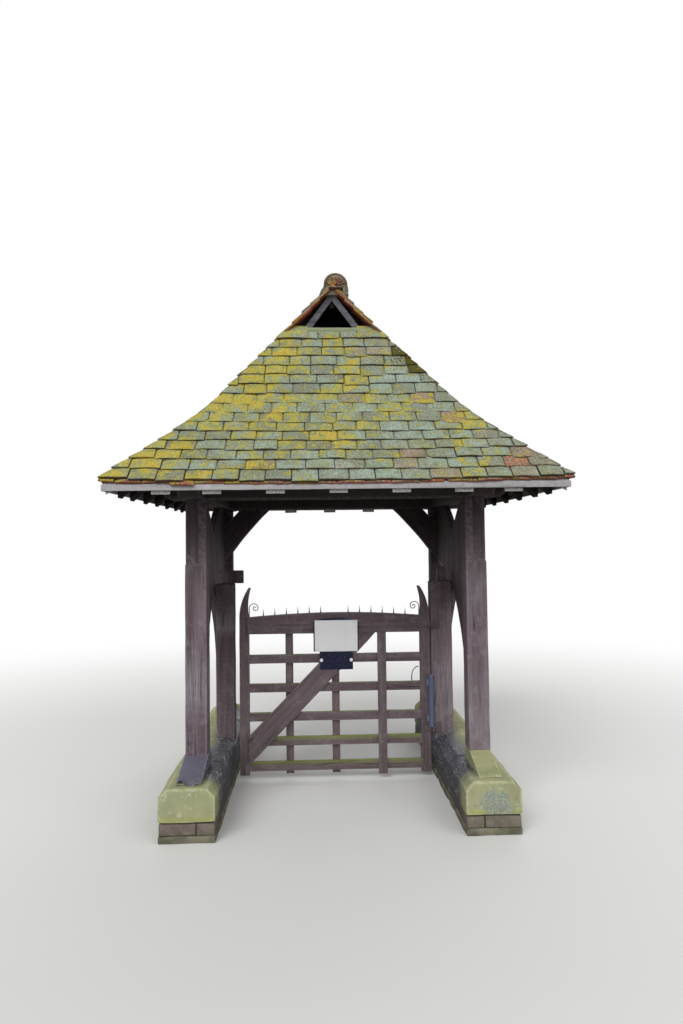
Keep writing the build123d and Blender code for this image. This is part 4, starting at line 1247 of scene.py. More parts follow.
def prism_solid(outline: list[tuple[float, float]], y_low: float, y_high: float) -> Solid:
    """Gives an outline in X and Z, run along Y, as points and faces.

    Args:
        outline: Corners of the outline in order.
        y_low: Near end.
        y_high: Far end.

    Returns:
        Its points and its faces.
    """
    count = len(outline)
    points = [Vector((x, y, z)) for y in (y_low, y_high) for x, z in outline]
    sides = [[n, (n + 1) % count, count + (n + 1) % count, count + n] for n in range(count)]
    return points, [list(range(count))[::-1], list(range(count, 2 * count))] + sides


@dataclass
class Yard:
    """Turns finished meshes into pieces of the object."""

    finishes: Finishes
    smooth_angle: float = math.radians(38)

    def piece(
        self, name: str, mesh: Mesh, finish: Material, slot: str, body: Body, replaced: tuple[str, ...] = ()
    ) -> Piece:
        """Makes a piece, puts it on its body and hides the nodes it stands for.

        Args:
            name: Name of the piece.
            mesh: Its mesh, which is freed.
            finish: Its material.
            slot: Material slot of the record; not used.
            body: Body that it rides on.
            replaced: Nodes of the frame that it stands for.

        Returns:
            The piece.
        """
        data = bpy.data.meshes.new(name)
        mesh.to_mesh(data)
        mesh.free()
        data.shade_smooth()
        data.set_sharp_from_angle(angle=self.smooth_angle)
        data.materials.append(finish)
        made = bpy.data.objects.new(name, data)
        bpy.context.scene.collection.objects.link(made)
        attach(made, body.value)
        if replaced:
            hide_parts(*replaced)
        LOG.info("%s: %d points, %d faces", name, len(data.vertices), len(data.polygons))
        return made

    def weathered(
        self,
        node: str,
        finish: Material,
        slot: str,
        body: Body,
        wear: Weathering,
        marks: Marks | None = None,
    ) -> Piece:
        """Dresses a node of the frame as worn timber, stone or iron.

        Args:
            node: Name of the node.
            finish: Its material.
            slot: Material slot of the record.
            body: Body that it rides on.
            wear: How worn it is.
            marks: For each value that its points carry, the rule that gives it by place.

        Returns:
            The piece that stands for the node.
        """
        draw = random.Random(node)
        mesh, layers = fresh_mesh()
        for points, faces in solids_of(node):
            wear.work(mesh, points, faces, draw.random())
        for vert in mesh.verts:
            layers.mark([vert], **{label: rule(vert.co) for label, rule in (marks or {}).items()})
        return self.piece(f"{node}_worn", mesh, finish, slot, body, (node,))


@dataclass(frozen=True)
class Spread:
    """A size that differs from one piece to the next."""

    least: float
    extra: float

    def value(self, draw: random.Random) -> float:
        """Draws one such size."""
        return self.least + self.extra * draw.random()


def jitter(draw: random.Random, spread: float) -> float:
    """Draws a value at most half a spread off zero."""
    return (draw.random() - 0.5) * spread


def solids_of(node: str) -> list[Solid]:
    """Gives the loose solids of a node of the frame."""
    return islands(bpy.data.objects[node].data)


# Roof


@dataclass
class RoofProfile:
    """Half-width and height of the roof surface, measured by the distance up it from the eave."""

    corners: tuple[tuple[float, float], ...] = ((1.390, 2.165), (0.870, 2.650), (0.345, 3.343), (0.0, 3.695))
    rounding: float = 0.10
    rounding_samples: int = 5
    sag: float = 0.026
    sag_level: float = 0.55
    sag_fade: float = 1.1
    lengths: list[float] = field(init=False)
    gablet_half: float = field(init=False)
    gablet_from: float = field(init=False)

    def __post_init__(self) -> None:
        """Measures the runs between the corners, and finds where the gablets start."""
        self.lengths = [math.dist(a, b) for a, b in zip(self.corners, self.corners[1:])]
        self.gablet_half = self.corners[2][0]
        self.gablet_from = self.distance_at(self.gablet_half)

    def straight(self, up: float) -> Vector:
        """Gives the point of the sharp profile.

        Args:
            up: Distance up the slope from the eave.

        Returns:
            Half-width and height.
        """
        run, rest = 0, up
        while run < len(self.lengths) - 1 and rest > self.lengths[run]:
            rest -= self.lengths[run]
            run += 1
        low, high = Vector(self.corners[run]), Vector(self.corners[run + 1])
        return low + (high - low) * (rest / self.lengths[run])

    def point(self, up: float, along: float = 0.0) -> Vector:
        """Gives the point of the eased profile, with the sag of the eave.

        Args:
            up: Distance up the slope from the eave.
            along: Distance along the slope from its middle.

        Returns:
            Half-width and height.
        """
        total = Vector((0.0, 0.0))
        for n in range(-self.rounding_samples, self.rounding_samples + 1):
            total += self.straight(up + self.rounding * n / self.rounding_samples)
        point = total / (2 * self.rounding_samples + 1)
        share = max(0.0, 1.0 - max(up, 0.0) / self.sag_fade)
        width = self.corners[0][0]
        point.y += self.sag * share * (min(1.0, (along / width) ** 2) - self.sag_level)
        return point

    def inward(self, up: float) -> Vector:
        """Gives the direction squarely into the roof at a place.

        Args:
            up: Distance up the slope from the eave.

        Returns:
            The direction, as half-width and height.
        """
        step = 0.01
        run = (self.point(up + step) - self.point(up - step)).normalized()
        return Vector((-abs(run.y), -abs(run.x)))

    def distance_at(self, half_width: float) -> float:
        """Finds the place on the slope where the surface has a half-width.

        Args:
            half_width: The half-width.

        Returns:
            Distance up the slope from the eave.
        """
        total = 0.0
        for (r_low, _), (r_high, _), length in zip(self.corners, self.corners[1:], self.lengths):
            if half_width >= r_high:
                return total + length * (r_low - half_width) / (r_low - r_high)
            total += length
        return total


@dataclass(frozen=True)
class Damage:
    """One tile of the front slope that has slipped, turned or lost its crust."""

    along: float
    up: float
    slip: float = 0.0
    turn: float = 0.0
    clay: float = 0.0
    reach: float = 0.085


@dataclass(frozen=True)
class ClayTile:
    """One plain tile: cambered, ragged round its edges, and now and then broken."""

    width: float = 0.165
    long: float = 0.265
    thick: float = 0.013
    camber: float = 0.0035
    columns: tuple[float, ...] = (-1.0, -0.95, -0.55, 0.0, 0.55, 0.95, 1.0)
    rows: tuple[float, ...] = (0.0, 0.0065, 0.05, 0.105, 1.0)
    edge_drop: float = 0.0025
    pits: float = 0.0009
    ragged_side: float = 0.0026
    ragged_tail: float = 0.006
    noise_room: float = 90.0
    noise_scale: float = 60.0
    side_fineness: float = 0.6
    tail_fineness: float = 0.5
    broken_chance: float = 0.13
    break_slant: float = -0.4
    break_lean: float = 0.15
    chip: Spread = Spread(0.006, 0.014)

    def shape(self, width: float, reach: float, draw: random.Random) -> Mesh:
        """Shapes one tile in its own axes, its tail at the origin.

        Args:
            width: Width of the tile.
            reach: Length of the tile.
            draw: Random numbers.

        Returns:
            The tile's mesh.
        """
        tile, layers = fresh_mesh()
        seed = Vector([draw.random() * self.noise_room for _ in range(3)])
        levels = [row if row < 1.0 else reach for row in self.rows if row < reach or row == 1.0]
        grids: list[list[list[Point]]] = []
        for under in (0.0, self.thick):
            grid = []
            for level in levels:
                line = []
                for column in self.columns:
                    x, y = column * width / 2, level
                    ragged = Vector((x * self.noise_scale, y * self.noise_scale, 0.0)) + seed
                    z = -self.camber * column * column - under
                    if under == 0.0:
                        z -= self.edge_drop * (abs(column) == 1.0) + self.edge_drop * (level == 0.0)
                        z += self.pits * noise.noise(ragged)
                    if abs(column) == 1.0:
                        x += self.ragged_side * noise.noise(ragged * self.side_fineness)
                    if level == 0.0:
                        y += self.ragged_tail * noise.noise(ragged * self.tail_fineness)
                    vert = tile.verts.new((x, y, z))
                    on_rim = abs(column) == 1.0 or level == 0.0
                    layers.mark([vert], skin=float(under == 0.0), arris=float(on_rim))
                    line.append(vert)
                grid.append(line)
            grids.append(grid)
        top, base = grids
        rows, columns = len(levels), len(self.columns)
        for j in range(rows - 1):
            for i in range(columns - 1):
                tile.faces.new((top[j][i], top[j][i + 1], top[j + 1][i + 1], top[j + 1][i]))
                tile.faces.new((base[j][i], base[j + 1][i], base[j + 1][i + 1], base[j][i + 1]))
            tile.faces.new((top[j][0], top[j + 1][0], base[j + 1][0], base[j][0]))
            tile.faces.new((top[j][-1], base[j][-1], base[j + 1][-1], top[j + 1][-1]))
        for i in range(columns - 1):
            tile.faces.new((top[0][i], base[0][i], base[0][i + 1], top[0][i + 1]))
            tile.faces.new((top[-1][i], top[-1][i + 1], base[-1][i + 1], base[-1][i]))
        if draw.random() < self.broken_chance:
            corner = -1.0 if draw.random() < 0.5 else 1.0
            slant = self.break_slant - draw.random()
            normal = Vector((corner, slant, self.break_lean)).normalized()
            place = Vector((corner * width * 0.5, 0.0, 0.0)) - normal * self.chip.value(draw)
            cut_solid(tile, place, normal)
        return tile


@dataclass(frozen=True)
class TileAge:
    """How yellow lichen, moss and bare clay are spread over the roof."""

    gold: float = 0.478
    gold_leftward: float = 0.036
    gold_upward: float = 0.035
    gold_spread: float = 0.075
    clay: float = 0.06
    clay_chance: float = 0.06
    clay_chance_low: float = 0.12
    clay_below: float = 0.5
    clay_right_of: float = 0.3
    clay_extra: float = 0.42
    moss_up: float = 1.17
    moss_tall: float = 0.23
    moss_wide: float = 0.2
    moss_most: float = 0.8
    hip_moss: float = 0.28
    hip_moss_wide: float = 0.05

    def mark(
        self, tile: Mesh, draw: random.Random, rightward: float, up: float, hip: float, bare: float
    ) -> None:
        """Gives a tile its age.

        Args:
            tile: The tile's mesh.
            draw: Random numbers.
            rightward: Its place along the slope, rising to the right.
            up: Its distance up the slope.
            hip: Its distance from the nearer hip.
            bare: How bare its clay is, from 0 to 1.
        """
        member = draw.random()
        gold = self.gold - self.gold_leftward * rightward + self.gold_upward * min(1.0, up)
        gold += jitter(draw, self.gold_spread)
        clay = self.clay + bare
        low_right = up < self.clay_below and rightward > self.clay_right_of
        if draw.random() < self.clay_chance + self.clay_chance_low * low_right:
            clay += self.clay_extra * draw.random()
        mossy = self.hip_moss * math.exp(-((hip / self.hip_moss_wide) ** 2))
        if rightward > 0:
            shade = math.exp(-(((up - self.moss_up) / self.moss_tall) ** 2))
            mossy = max(mossy, self.moss_most * shade * math.exp(-((hip / self.moss_wide) ** 2)))
        Layers(tile).mark(tile.verts, member=member, gold=gold, clay=clay, moss=mossy)


@dataclass
class TiledSlope:
    """Plain clay tiles on one slope of the roof, with their under-eave course and battens."""

    yard: Yard
    profile: RoofProfile
    slope: Slope
    clay_tile: ClayTile = ClayTile()
    age: TileAge = TileAge()
    gauge: float = 0.0985
    gap: float = 0.0035
    head_depth: float = 0.023
    verge_half: float = 0.366
    end_stop_half: float = 0.322
    top_course: float = 0.35
    batten_tall: float = 0.030
    batten_thick: float = 0.012
    batten_in: float = 0.02
    batten_short: float = 0.03
    batten_short_above: float = 0.06
    gablet_start: float = 0.062
    shoulder_from: float = 0.176
    shoulder_lift: float = 0.006
    shoulder_head: tuple[float, float] = (0.314, 3.378)
    shortest: float = 0.05
    damages: tuple[Damage, ...] = (
        Damage(0.84, 0.64, slip=0.02, turn=-0.10, clay=0.7),
        Damage(1.07, 0.19, slip=0.012, turn=0.06, clay=0.5),
        Damage(1.08, 0.06, clay=0.9, turn=0.04, reach=0.05),
        Damage(1.22, 0.10, slip=0.01, turn=-0.05, clay=0.35),
        Damage(1.25, 0.19, slip=0.03, turn=0.16, clay=0.3),
        Damage(0.40, 0.86, turn=0.09, slip=0.012),
        Damage(-0.35, 0.62, turn=-0.05, clay=0.35),
        Damage(0.10, 1.24, slip=0.015, turn=0.05, clay=0.4),
        Damage(0.62, 0.80, slip=0.01, turn=-0.07, clay=0.6),
    )
    width_share: Spread = Spread(0.86, 0.26)
    gap_share: Spread = Spread(0.4, 1.2)
    nudge: float = 0.011
    wave: float = 0.007
    wave_along: float = 2.3
    wave_up: float = 3.1
    slip_chance: float = 0.05
    slip: Spread = Spread(0.008, 0.014)
    lift: float = 0.003
    kick_chance: float = 0.12
    kick: float = 0.005
    sway: float = 0.04
    shoulder_sway: float = 0.02
    roll: float = 0.012
    eave_tail: float = -0.006
    eave_long: float = 0.17
    eave_sink: float = 0.016
    ridge_lap: float = 0.02
    verge_ragged: float = 0.007
    hip_proud: Spread = Spread(0.001, 0.006)
    lump_long: Spread = Spread(0.024, 0.022)
    lump_pitch: Spread = Spread(0.8, 0.5)
    lump_inner: float = 0.330
    lump_outer: Spread = Spread(0.349, 0.008)
    lump_depths: tuple[float, float, float] = (0.012, 0.034, 0.030)
    foot_lump: float = 0.075
    foot_lump_drop: float = 0.045
    lumps_from: float = 0.01
    lumps_to: float = 0.05
    seed: int = 41
    draw: random.Random = field(init=False)

    def __post_init__(self) -> None:
        """Starts the random numbers of the slope."""
        self.draw = random.Random(self.seed + self.slope.value)

    def build(self) -> None:
        """Builds the tiles and battens of the slope."""
        tiles, _ = fresh_mesh()
        battens, _ = fresh_mesh()
        is_side = self.slope in (Slope.LEFT, Slope.RIGHT)
        top = sum(self.profile.lengths) if is_side else self.profile.distance_at(self.end_stop_half)
        courses = int(top / self.gauge)
        pitch = top / (courses + self.top_course)
        last_up = 0.0
        self.lay_course(tiles, self.eave_tail, min(self.clay_tile.long, self.eave_long), self.eave_sink, 1.0)
        for course in range(courses + 1):
            up = course * pitch
            reach = min(self.clay_tile.long, top - up + (self.ridge_lap if is_side else 0.0))
            if reach > self.shortest:
                self.lay_course(tiles, up, reach, 0.0, 0.0)
                last_up = up
            if top - up > self.clay_tile.long:
                self.lay_batten(battens, up + self.clay_tile.long - self.batten_in)
        if not is_side:
            self.lay_shoulders(tiles, last_up)
        side = self.slope.name.lower()
        finishes = self.yard.finishes
        self.turn_out(tiles)
        self.turn_out(battens)
        node = f"roof_tiles_{side}"
        self.yard.piece(f"tiles_{side}", tiles, finishes.tile, "clay_tiles", Body.FRAME, (node,))
        self.yard.piece(f"battens_{side}", battens, finishes.soffit, "oak_frame", Body.FRAME)
        if is_side:
            mortar = self.point_verges(pitch)
            self.turn_out(mortar)
            self.yard.piece(f"verge_mortar_{side}", mortar, finishes.mortar, "clay_tiles", Body.FRAME)

    def turn_out(self, mesh: Mesh) -> None:
        """Turns a mesh that was built facing +X to the slope's own side."""
        turn = Matrix.Rotation(math.radians(90 * self.slope.value), 4, "Z")
        bmesh.ops.transform(mesh, matrix=turn, verts=mesh.verts[:])

    def point_verges(self, pitch: float) -> Mesh:
        """Sets lumps of mortar under the verge tiles of a side slope, and a larger one at each foot.

        Args:
            pitch: Distance from course to course.

        Returns:
            Their mesh.
        """
        mortar, _ = fresh_mesh()
        foot = self.profile.gablet_from
        top = sum(self.profile.lengths)
        for end in (-1.0, 1.0):
            up = foot + self.lumps_from
            while up < top - self.lumps_to:
                self.lay_lump(mortar, up, self.lump_long.value(self.draw), end)
                up += pitch * self.lump_pitch.value(self.draw)
            self.lay_lump(mortar, foot - self.foot_lump_drop, self.foot_lump, end)
        return mortar

    def lay_lump(self, target: Mesh, up: float, long: float, end: float) -> None:
        """Lays one lump of mortar between the verge tiles and the gablet's boards.

        Args:
            target: Mesh that the lump goes into.
            up: Distance of its lower end up the slope.
            long: Its length.
            end: -1 at the front, 1 at the rear.
        """
        wear = Weathering(
            arris=0.003, step=0.012, across=0.012, wander=0.005, wander_scale=45.0, rough=0.002
        )
        top, high_base, low_base = self.lump_depths
        outline = []
        for rise, depth in ((0.0, top), (long, top), (long, high_base), (0.0, low_base)):
            point = self.profile.point(up + rise) + self.profile.inward(up) * depth
            outline.append((point.x, point.y))
        inner, outer = end * self.lump_inner, end * self.lump_outer.value(self.draw)
        points, faces = prism_solid(outline, min(inner, outer), max(inner, outer))
        wear.work(target, points, faces, self.draw.random())

    def lay_course(self, target: Mesh, up: float, reach: float, sink: float, bare: float) -> None:
        """Lays one course of tiles.

        Args:
            target: Mesh that the tiles go into.
            up: Distance of the course's tails up the slope.
            reach: Length of its tiles.
            sink: How far it lies under the roof surface.
            bare: How bare its clay is, from 0 to 1.
        """
        draw = self.draw
        in_gablet = up > self.profile.gablet_from - self.gablet_start
        limit = self.verge_half if in_gablet else self.profile.point(up).x
        across = -limit - draw.random() * self.clay_tile.width
        while across < limit:
            width = self.clay_tile.width * self.width_share.value(draw)
            middle = across + width / 2
            across += width + self.gap * self.gap_share.value(draw)
            wave = Vector((middle * self.wave_along, up * self.wave_up, self.slope.value))
            nudge = jitter(draw, self.nudge) + self.wave * noise.noise(wave)
            slip = self.slip.value(draw) if draw.random() < self.slip_chance else 0.0
            lift = draw.random() * self.lift
            lift += self.kick * draw.random() if draw.random() < self.kick_chance else 0.0
            damage = self.damage_at(middle, up)
            tile = self.clay_tile.shape(width, reach, self.draw)
            self.age_tile(tile, middle, up, max(bare, damage.clay))
            slip += damage.slip
            low = self.profile.point(up + nudge - slip, middle)
            high = self.profile.point(up + nudge - slip + reach, middle)
            depth = self.head_depth * reach / self.clay_tile.long
            low += self.profile.inward(up) * (sink - lift)
            high += self.profile.inward(up + reach) * (depth + sink)
            sway = jitter(draw, self.sway) + damage.turn
            roll = jitter(draw, self.roll)
            tail = Vector((low.x, middle, low.y))
            self.place_tile(tile, tail, Vector((high.x, middle, high.y)), sway, roll)
            self.trim(tile, in_gablet)
            if tile.faces:
                append(target, tile)
            else:
                tile.free()

    @staticmethod
    def place_tile(tile: Mesh, tail: Vector, head: Vector, sway: float, roll: float) -> None:
        """Moves a tile from its own axes to its place.

        Args:
            tile: The tile's mesh.
            tail: Place of the middle of its tail.
            head: Place of the middle of its head.
            sway: Slope of its tail along the course.
            roll: Slope of its face along the course.
        """
        rise = (head - tail).normalized()
        side = (Vector((0.0, 1.0, 0.0)) + rise * sway).normalized()
        out = side.cross(rise).normalized()
        out = out if out.z > 0 else -out
        out = (out + side * roll).normalized()
        place = Matrix((side, rise, out)).transposed().to_4x4()
        place.translation = tail
        bmesh.ops.transform(tile, matrix=place, verts=tile.verts[:])

    def age_tile(self, tile: Mesh, middle: float, up: float, bare: float) -> None:
        """Gives a tile its age by its place on the roof.

        Args:
            tile: The tile's mesh.
            middle: Its place along the slope.
            up: Its distance up the slope.
            bare: How bare its clay is, from 0 to 1.
        """
        rightward = middle if self.slope is Slope.FRONT else -middle
        hip = self.profile.point(up).x - abs(middle)
        self.age.mark(tile, self.draw, rightward, up, hip, bare)

    def lay_shoulders(self, target: Mesh, up: float) -> None:
        """Lays a long tile at each end of the top course, over the ends of the gablet's sill.

        Args:
            target: Mesh that the tiles go into.
            up: Distance of the top course's tails up the slope.
        """
        low = self.profile.point(up) - self.profile.inward(up) * self.shoulder_lift
        width = low.x - self.shoulder_from
        for sign in (-1.0, 1.0):
            middle = sign * (low.x + self.shoulder_from) / 2
            tail = Vector((low.x, middle, low.y))
            head = Vector((self.shoulder_head[0], middle, self.shoulder_head[1]))
            tile = self.clay_tile.shape(width, (head - tail).length, self.draw)
            self.age_tile(tile, middle, up, 0.0)
            self.place_tile(tile, tail, head, jitter(self.draw, self.shoulder_sway), 0.0)
            self.trim(tile, False)
            append(target, tile)

    def damage_at(self, along: float, up: float) -> Damage:
        """Finds the damage of the tile at a place.

        Args:
            along: Place along the slope.
            up: Distance up the slope.

        Returns:
            The damage, or one that changes nothing.
        """
        if self.slope is Slope.FRONT:
            for damage in self.damages:
                if abs(damage.along - along) < damage.reach and abs(damage.up - up) < self.gauge / 2:
                    return damage
        return Damage(along, up)

    def trim(self, tile: Mesh, in_gablet: bool) -> None:
        """Cuts a laid tile to the hips, or to the verges above them.

        Args:
            tile: The laid tile.
            in_gablet: Whether it lies above the hips.
        """
        for sign in (-1.0, 1.0):
            if in_gablet:
                edge = self.verge_half + jitter(self.draw, self.verge_ragged)
                place, normal = Vector((0.0, sign * edge, 0.0)), Vector((0.0, sign, 0.0))
            else:
                proud = self.hip_proud.value(self.draw)
                place, normal = Vector((-proud, 0.0, 0.0)), Vector((-1.0, sign, 0.0)).normalized()
            reach = [(vert.co - place).dot(normal) for vert in tile.verts]
            if reach and max(reach) > 0:
                cut_solid(tile, place, normal)

    def lay_batten(self, target: Mesh, up: float) -> None:
        """Lays one batten under the heads of a course.

        Args:
            target: Mesh that the batten goes into.
            up: Distance of its middle up the slope.
        """
        limit = self.profile.point(up).x - self.batten_short
        if up > self.profile.gablet_from:
            limit = self.profile.gablet_half - self.batten_short_above
        outline = []
        for rise, depth in ((0.0, 0.0), (self.batten_tall, 0.0), (self.batten_tall, 1.0), (0.0, 1.0)):
            under = self.head_depth + self.clay_tile.thick + depth * self.batten_thick
            point = self.profile.point(up + rise, 0.0) + self.profile.inward(up) * under
            outline.append((point.x, point.y))
        points, faces = prism_solid(outline, -limit, limit)
        worn = Weathering(arris=0.0015, step=0.3, across=0.2, wander=0.0015)
        worn.work(target, points, faces, self.draw.random())


@dataclass
class Ridge:
    """Half-round ridge tiles on a mortar bed, the ends filled with slips of tile fanned in mortar."""

    yard: Yard
    radius: float = 0.088
    thick: float = 0.016
    top_z: float = 3.763
    half_long: float = 0.357
    tile_count: int = 3
    joint: float = 0.012
    facets: int = 18
    skirt: float = 0.045
    front_shift: float = 0.028
    flare: float = 0.006
    sunk: float = 0.004
    gold: float = 0.45
    clay: Spread = Spread(0.25, 0.5)
    bed_bite: float = 0.001
    bed_flare: float = 0.022
    bed_drop: float = 0.03
    bed_end: float = 0.012
    bed_lap: float = 0.01
    bed_member: float = 0.4
    slips: int = 7
    slip_from: float = 22.0
    slip_low: float = 0.018
    slip_high: Spread = Spread(0.066, 0.004)
    slip_half_long: float = 0.010
    slip_half_thick: float = 0.005
    slip_drop: float = 0.012
    face_in: float = 0.008
    flat_half: tuple[float, float, float] = (0.052, 0.03, 0.006)
    flat_drop: float = 0.036
    seed: int = 7
    axis_z: float = field(init=False)
    pitch: float = field(init=False)
    draw: random.Random = field(init=False)

    def __post_init__(self) -> None:
        """Works out what the parts of the ridge share."""
        self.axis_z = self.top_z - self.radius
        self.pitch = 2 * self.half_long / self.tile_count
        self.draw = random.Random(self.seed)

    def build(self) -> None:
        """Builds the ridge tiles, their mortar and the slips at both ends."""
        finishes = self.yard.finishes
        tiles = self.tiles()
        self.yard.piece("ridge_tiles_worn", tiles, finishes.tile, "clay_tiles", Body.FRAME, ("ridge_tiles",))
        self.yard.piece("ridge_bed", self.bed(), finishes.mortar, "clay_tiles", Body.FRAME)
        fan, _ = fresh_mesh()
        for end in (-1.0, 1.0):
            self.fan_slips(fan, end)
        self.yard.piece("ridge_slips", fan, finishes.tile, "clay_tiles", Body.FRAME)

    def tiles(self) -> Mesh:
        """Builds the ridge tiles.

        Returns:
            Their mesh.
        """
        tiles, layers = fresh_mesh()
        wear = Weathering(arris=0.003, step=0.06, across=0.09, wander=0.0035, rough=0.001)
        for n in range(self.tile_count):
            low = -self.half_long + n * self.pitch + self.joint / 2
            high = low + self.pitch - self.joint
            sunk = -self.sunk * self.draw.random()
            points, faces = prism_solid(self.shell(sunk), low, high)
            shift = self.shift(n)
            made = wear.work(tiles, [point + shift for point in points], faces, self.draw.random())
            layers.mark(made, gold=self.gold, clay=self.clay.value(self.draw))
            for vert in made:
                off_axis = (vert.co - shift - Vector((0.0, vert.co.y, self.axis_z))).length
                layers.mark([vert], skin=float(off_axis > self.radius - self.thick * 0.5))
        return tiles

    def bed(self) -> Mesh:
        """Builds the mortar under the ridge tiles.

        Returns:
            Its mesh.
        """
        bed, _ = fresh_mesh()
        inner = self.radius - self.thick + self.bed_bite
        base_z = self.axis_z - self.skirt - self.bed_drop
        outline = [(inner * math.cos(a), self.axis_z + inner * math.sin(a)) for a in self.angles()]
        outline = [(inner + self.bed_flare, base_z)] + outline + [(-inner - self.bed_flare, base_z)]
        rough = Weathering(arris=0.002, step=0.03, across=0.03, wander=0.004, wander_scale=20.0, rough=0.003)
        for n in range(self.tile_count):
            low = -self.half_long + n * self.pitch + (self.bed_end if n == 0 else -self.bed_lap)
            is_last = n == self.tile_count - 1
            high = -self.half_long + (n + 1) * self.pitch - (self.bed_end if is_last else 0.0)
            points, faces = prism_solid(outline, low, high)
            rough.work(bed, [point + self.shift(n) for point in points], faces, self.bed_member)
        return bed

    def shift(self, number: int) -> Vector:
        """Gives how far a ridge tile sits off the middle, which only the front one does."""
        return Vector((self.front_shift if number == 0 else 0.0, 0.0, 0.0))

    def angles(self) -> list[float]:
        """Gives the angles of the half-round, from the right side to the left."""
        return [math.pi * n / self.facets for n in range(self.facets + 1)]

    def shell(self, rise: float) -> list[tuple[float, float]]:
        """Gives the outline of a ridge tile.

        Args:
            rise: How far it sits above the ridge's axis.

        Returns:
            Corners of the outline.
        """
        axis_z = self.axis_z + rise
        foot_z = axis_z - self.skirt
        outer, inner = [
            [(radius * math.cos(a), axis_z + radius * math.sin(a)) for a in self.angles()]
            for radius in (self.radius, self.radius - self.thick)
        ]
        near, far = self.radius - self.thick + self.flare, self.radius + self.flare
        return [(near, foot_z), (far, foot_z)] + outer + [(-far, foot_z), (-near, foot_z)] + inner[::-1]

    def fan_slips(self, target: Mesh, end: float) -> None:
        """Sets slips of tile on edge, fanned in the mortar of one end, over a flat slip.

        Args:
            target: Mesh that the slips go into.
            end: -1 at the front end, 1 at the rear.
        """
        middle_x = self.front_shift if end < 0 else 0.0
        face_y = end * (self.half_long - self.face_in)
        foot = Vector((middle_x, face_y, self.axis_z - self.slip_drop))
        wear = Weathering(arris=0.0015, step=0.03, across=0.05, wander=0.001)
        for n in range(self.slips):
            angle = math.radians(self.slip_from + (180 - 2 * self.slip_from) * n / (self.slips - 1))
            direction = Vector((math.cos(angle), 0.0, math.sin(angle)))
            across = Vector((-direction.z, 0.0, direction.x))
            low = (self.slip_low, -self.slip_half_long, -self.slip_half_thick)
            high = (self.slip_high.value(self.draw), self.slip_half_long, self.slip_half_thick)
            points, faces = box_solid(low, high)
            points = [foot + direction * p.x + across * p.z + Vector((0.0, p.y, 0.0)) for p in points]
            made = wear.work(target, points, faces, self.draw.random())
            Layers(target).mark(made, skin=0.4, clay=0.6)
        points, faces = box_solid([-half for half in self.flat_half], self.flat_half)
        seat = Vector((middle_x, face_y, self.axis_z - self.flat_drop))
        wear.work(target, [point + seat for point in points], faces, self.draw.random())


# Timber frame


@dataclass(frozen=True)
class Scuff:
    """A band of a post where hands, straps and weather have rubbed it pale."""

    node: str
    middle: float
    half_tall: float
    strength: float

    def share(self, place: Vector) -> float:
        """Gives how rubbed the post is at a place, from 0 to 1."""
        return self.strength * math.exp(-(((place.z - self.middle) / self.half_tall) ** 2))


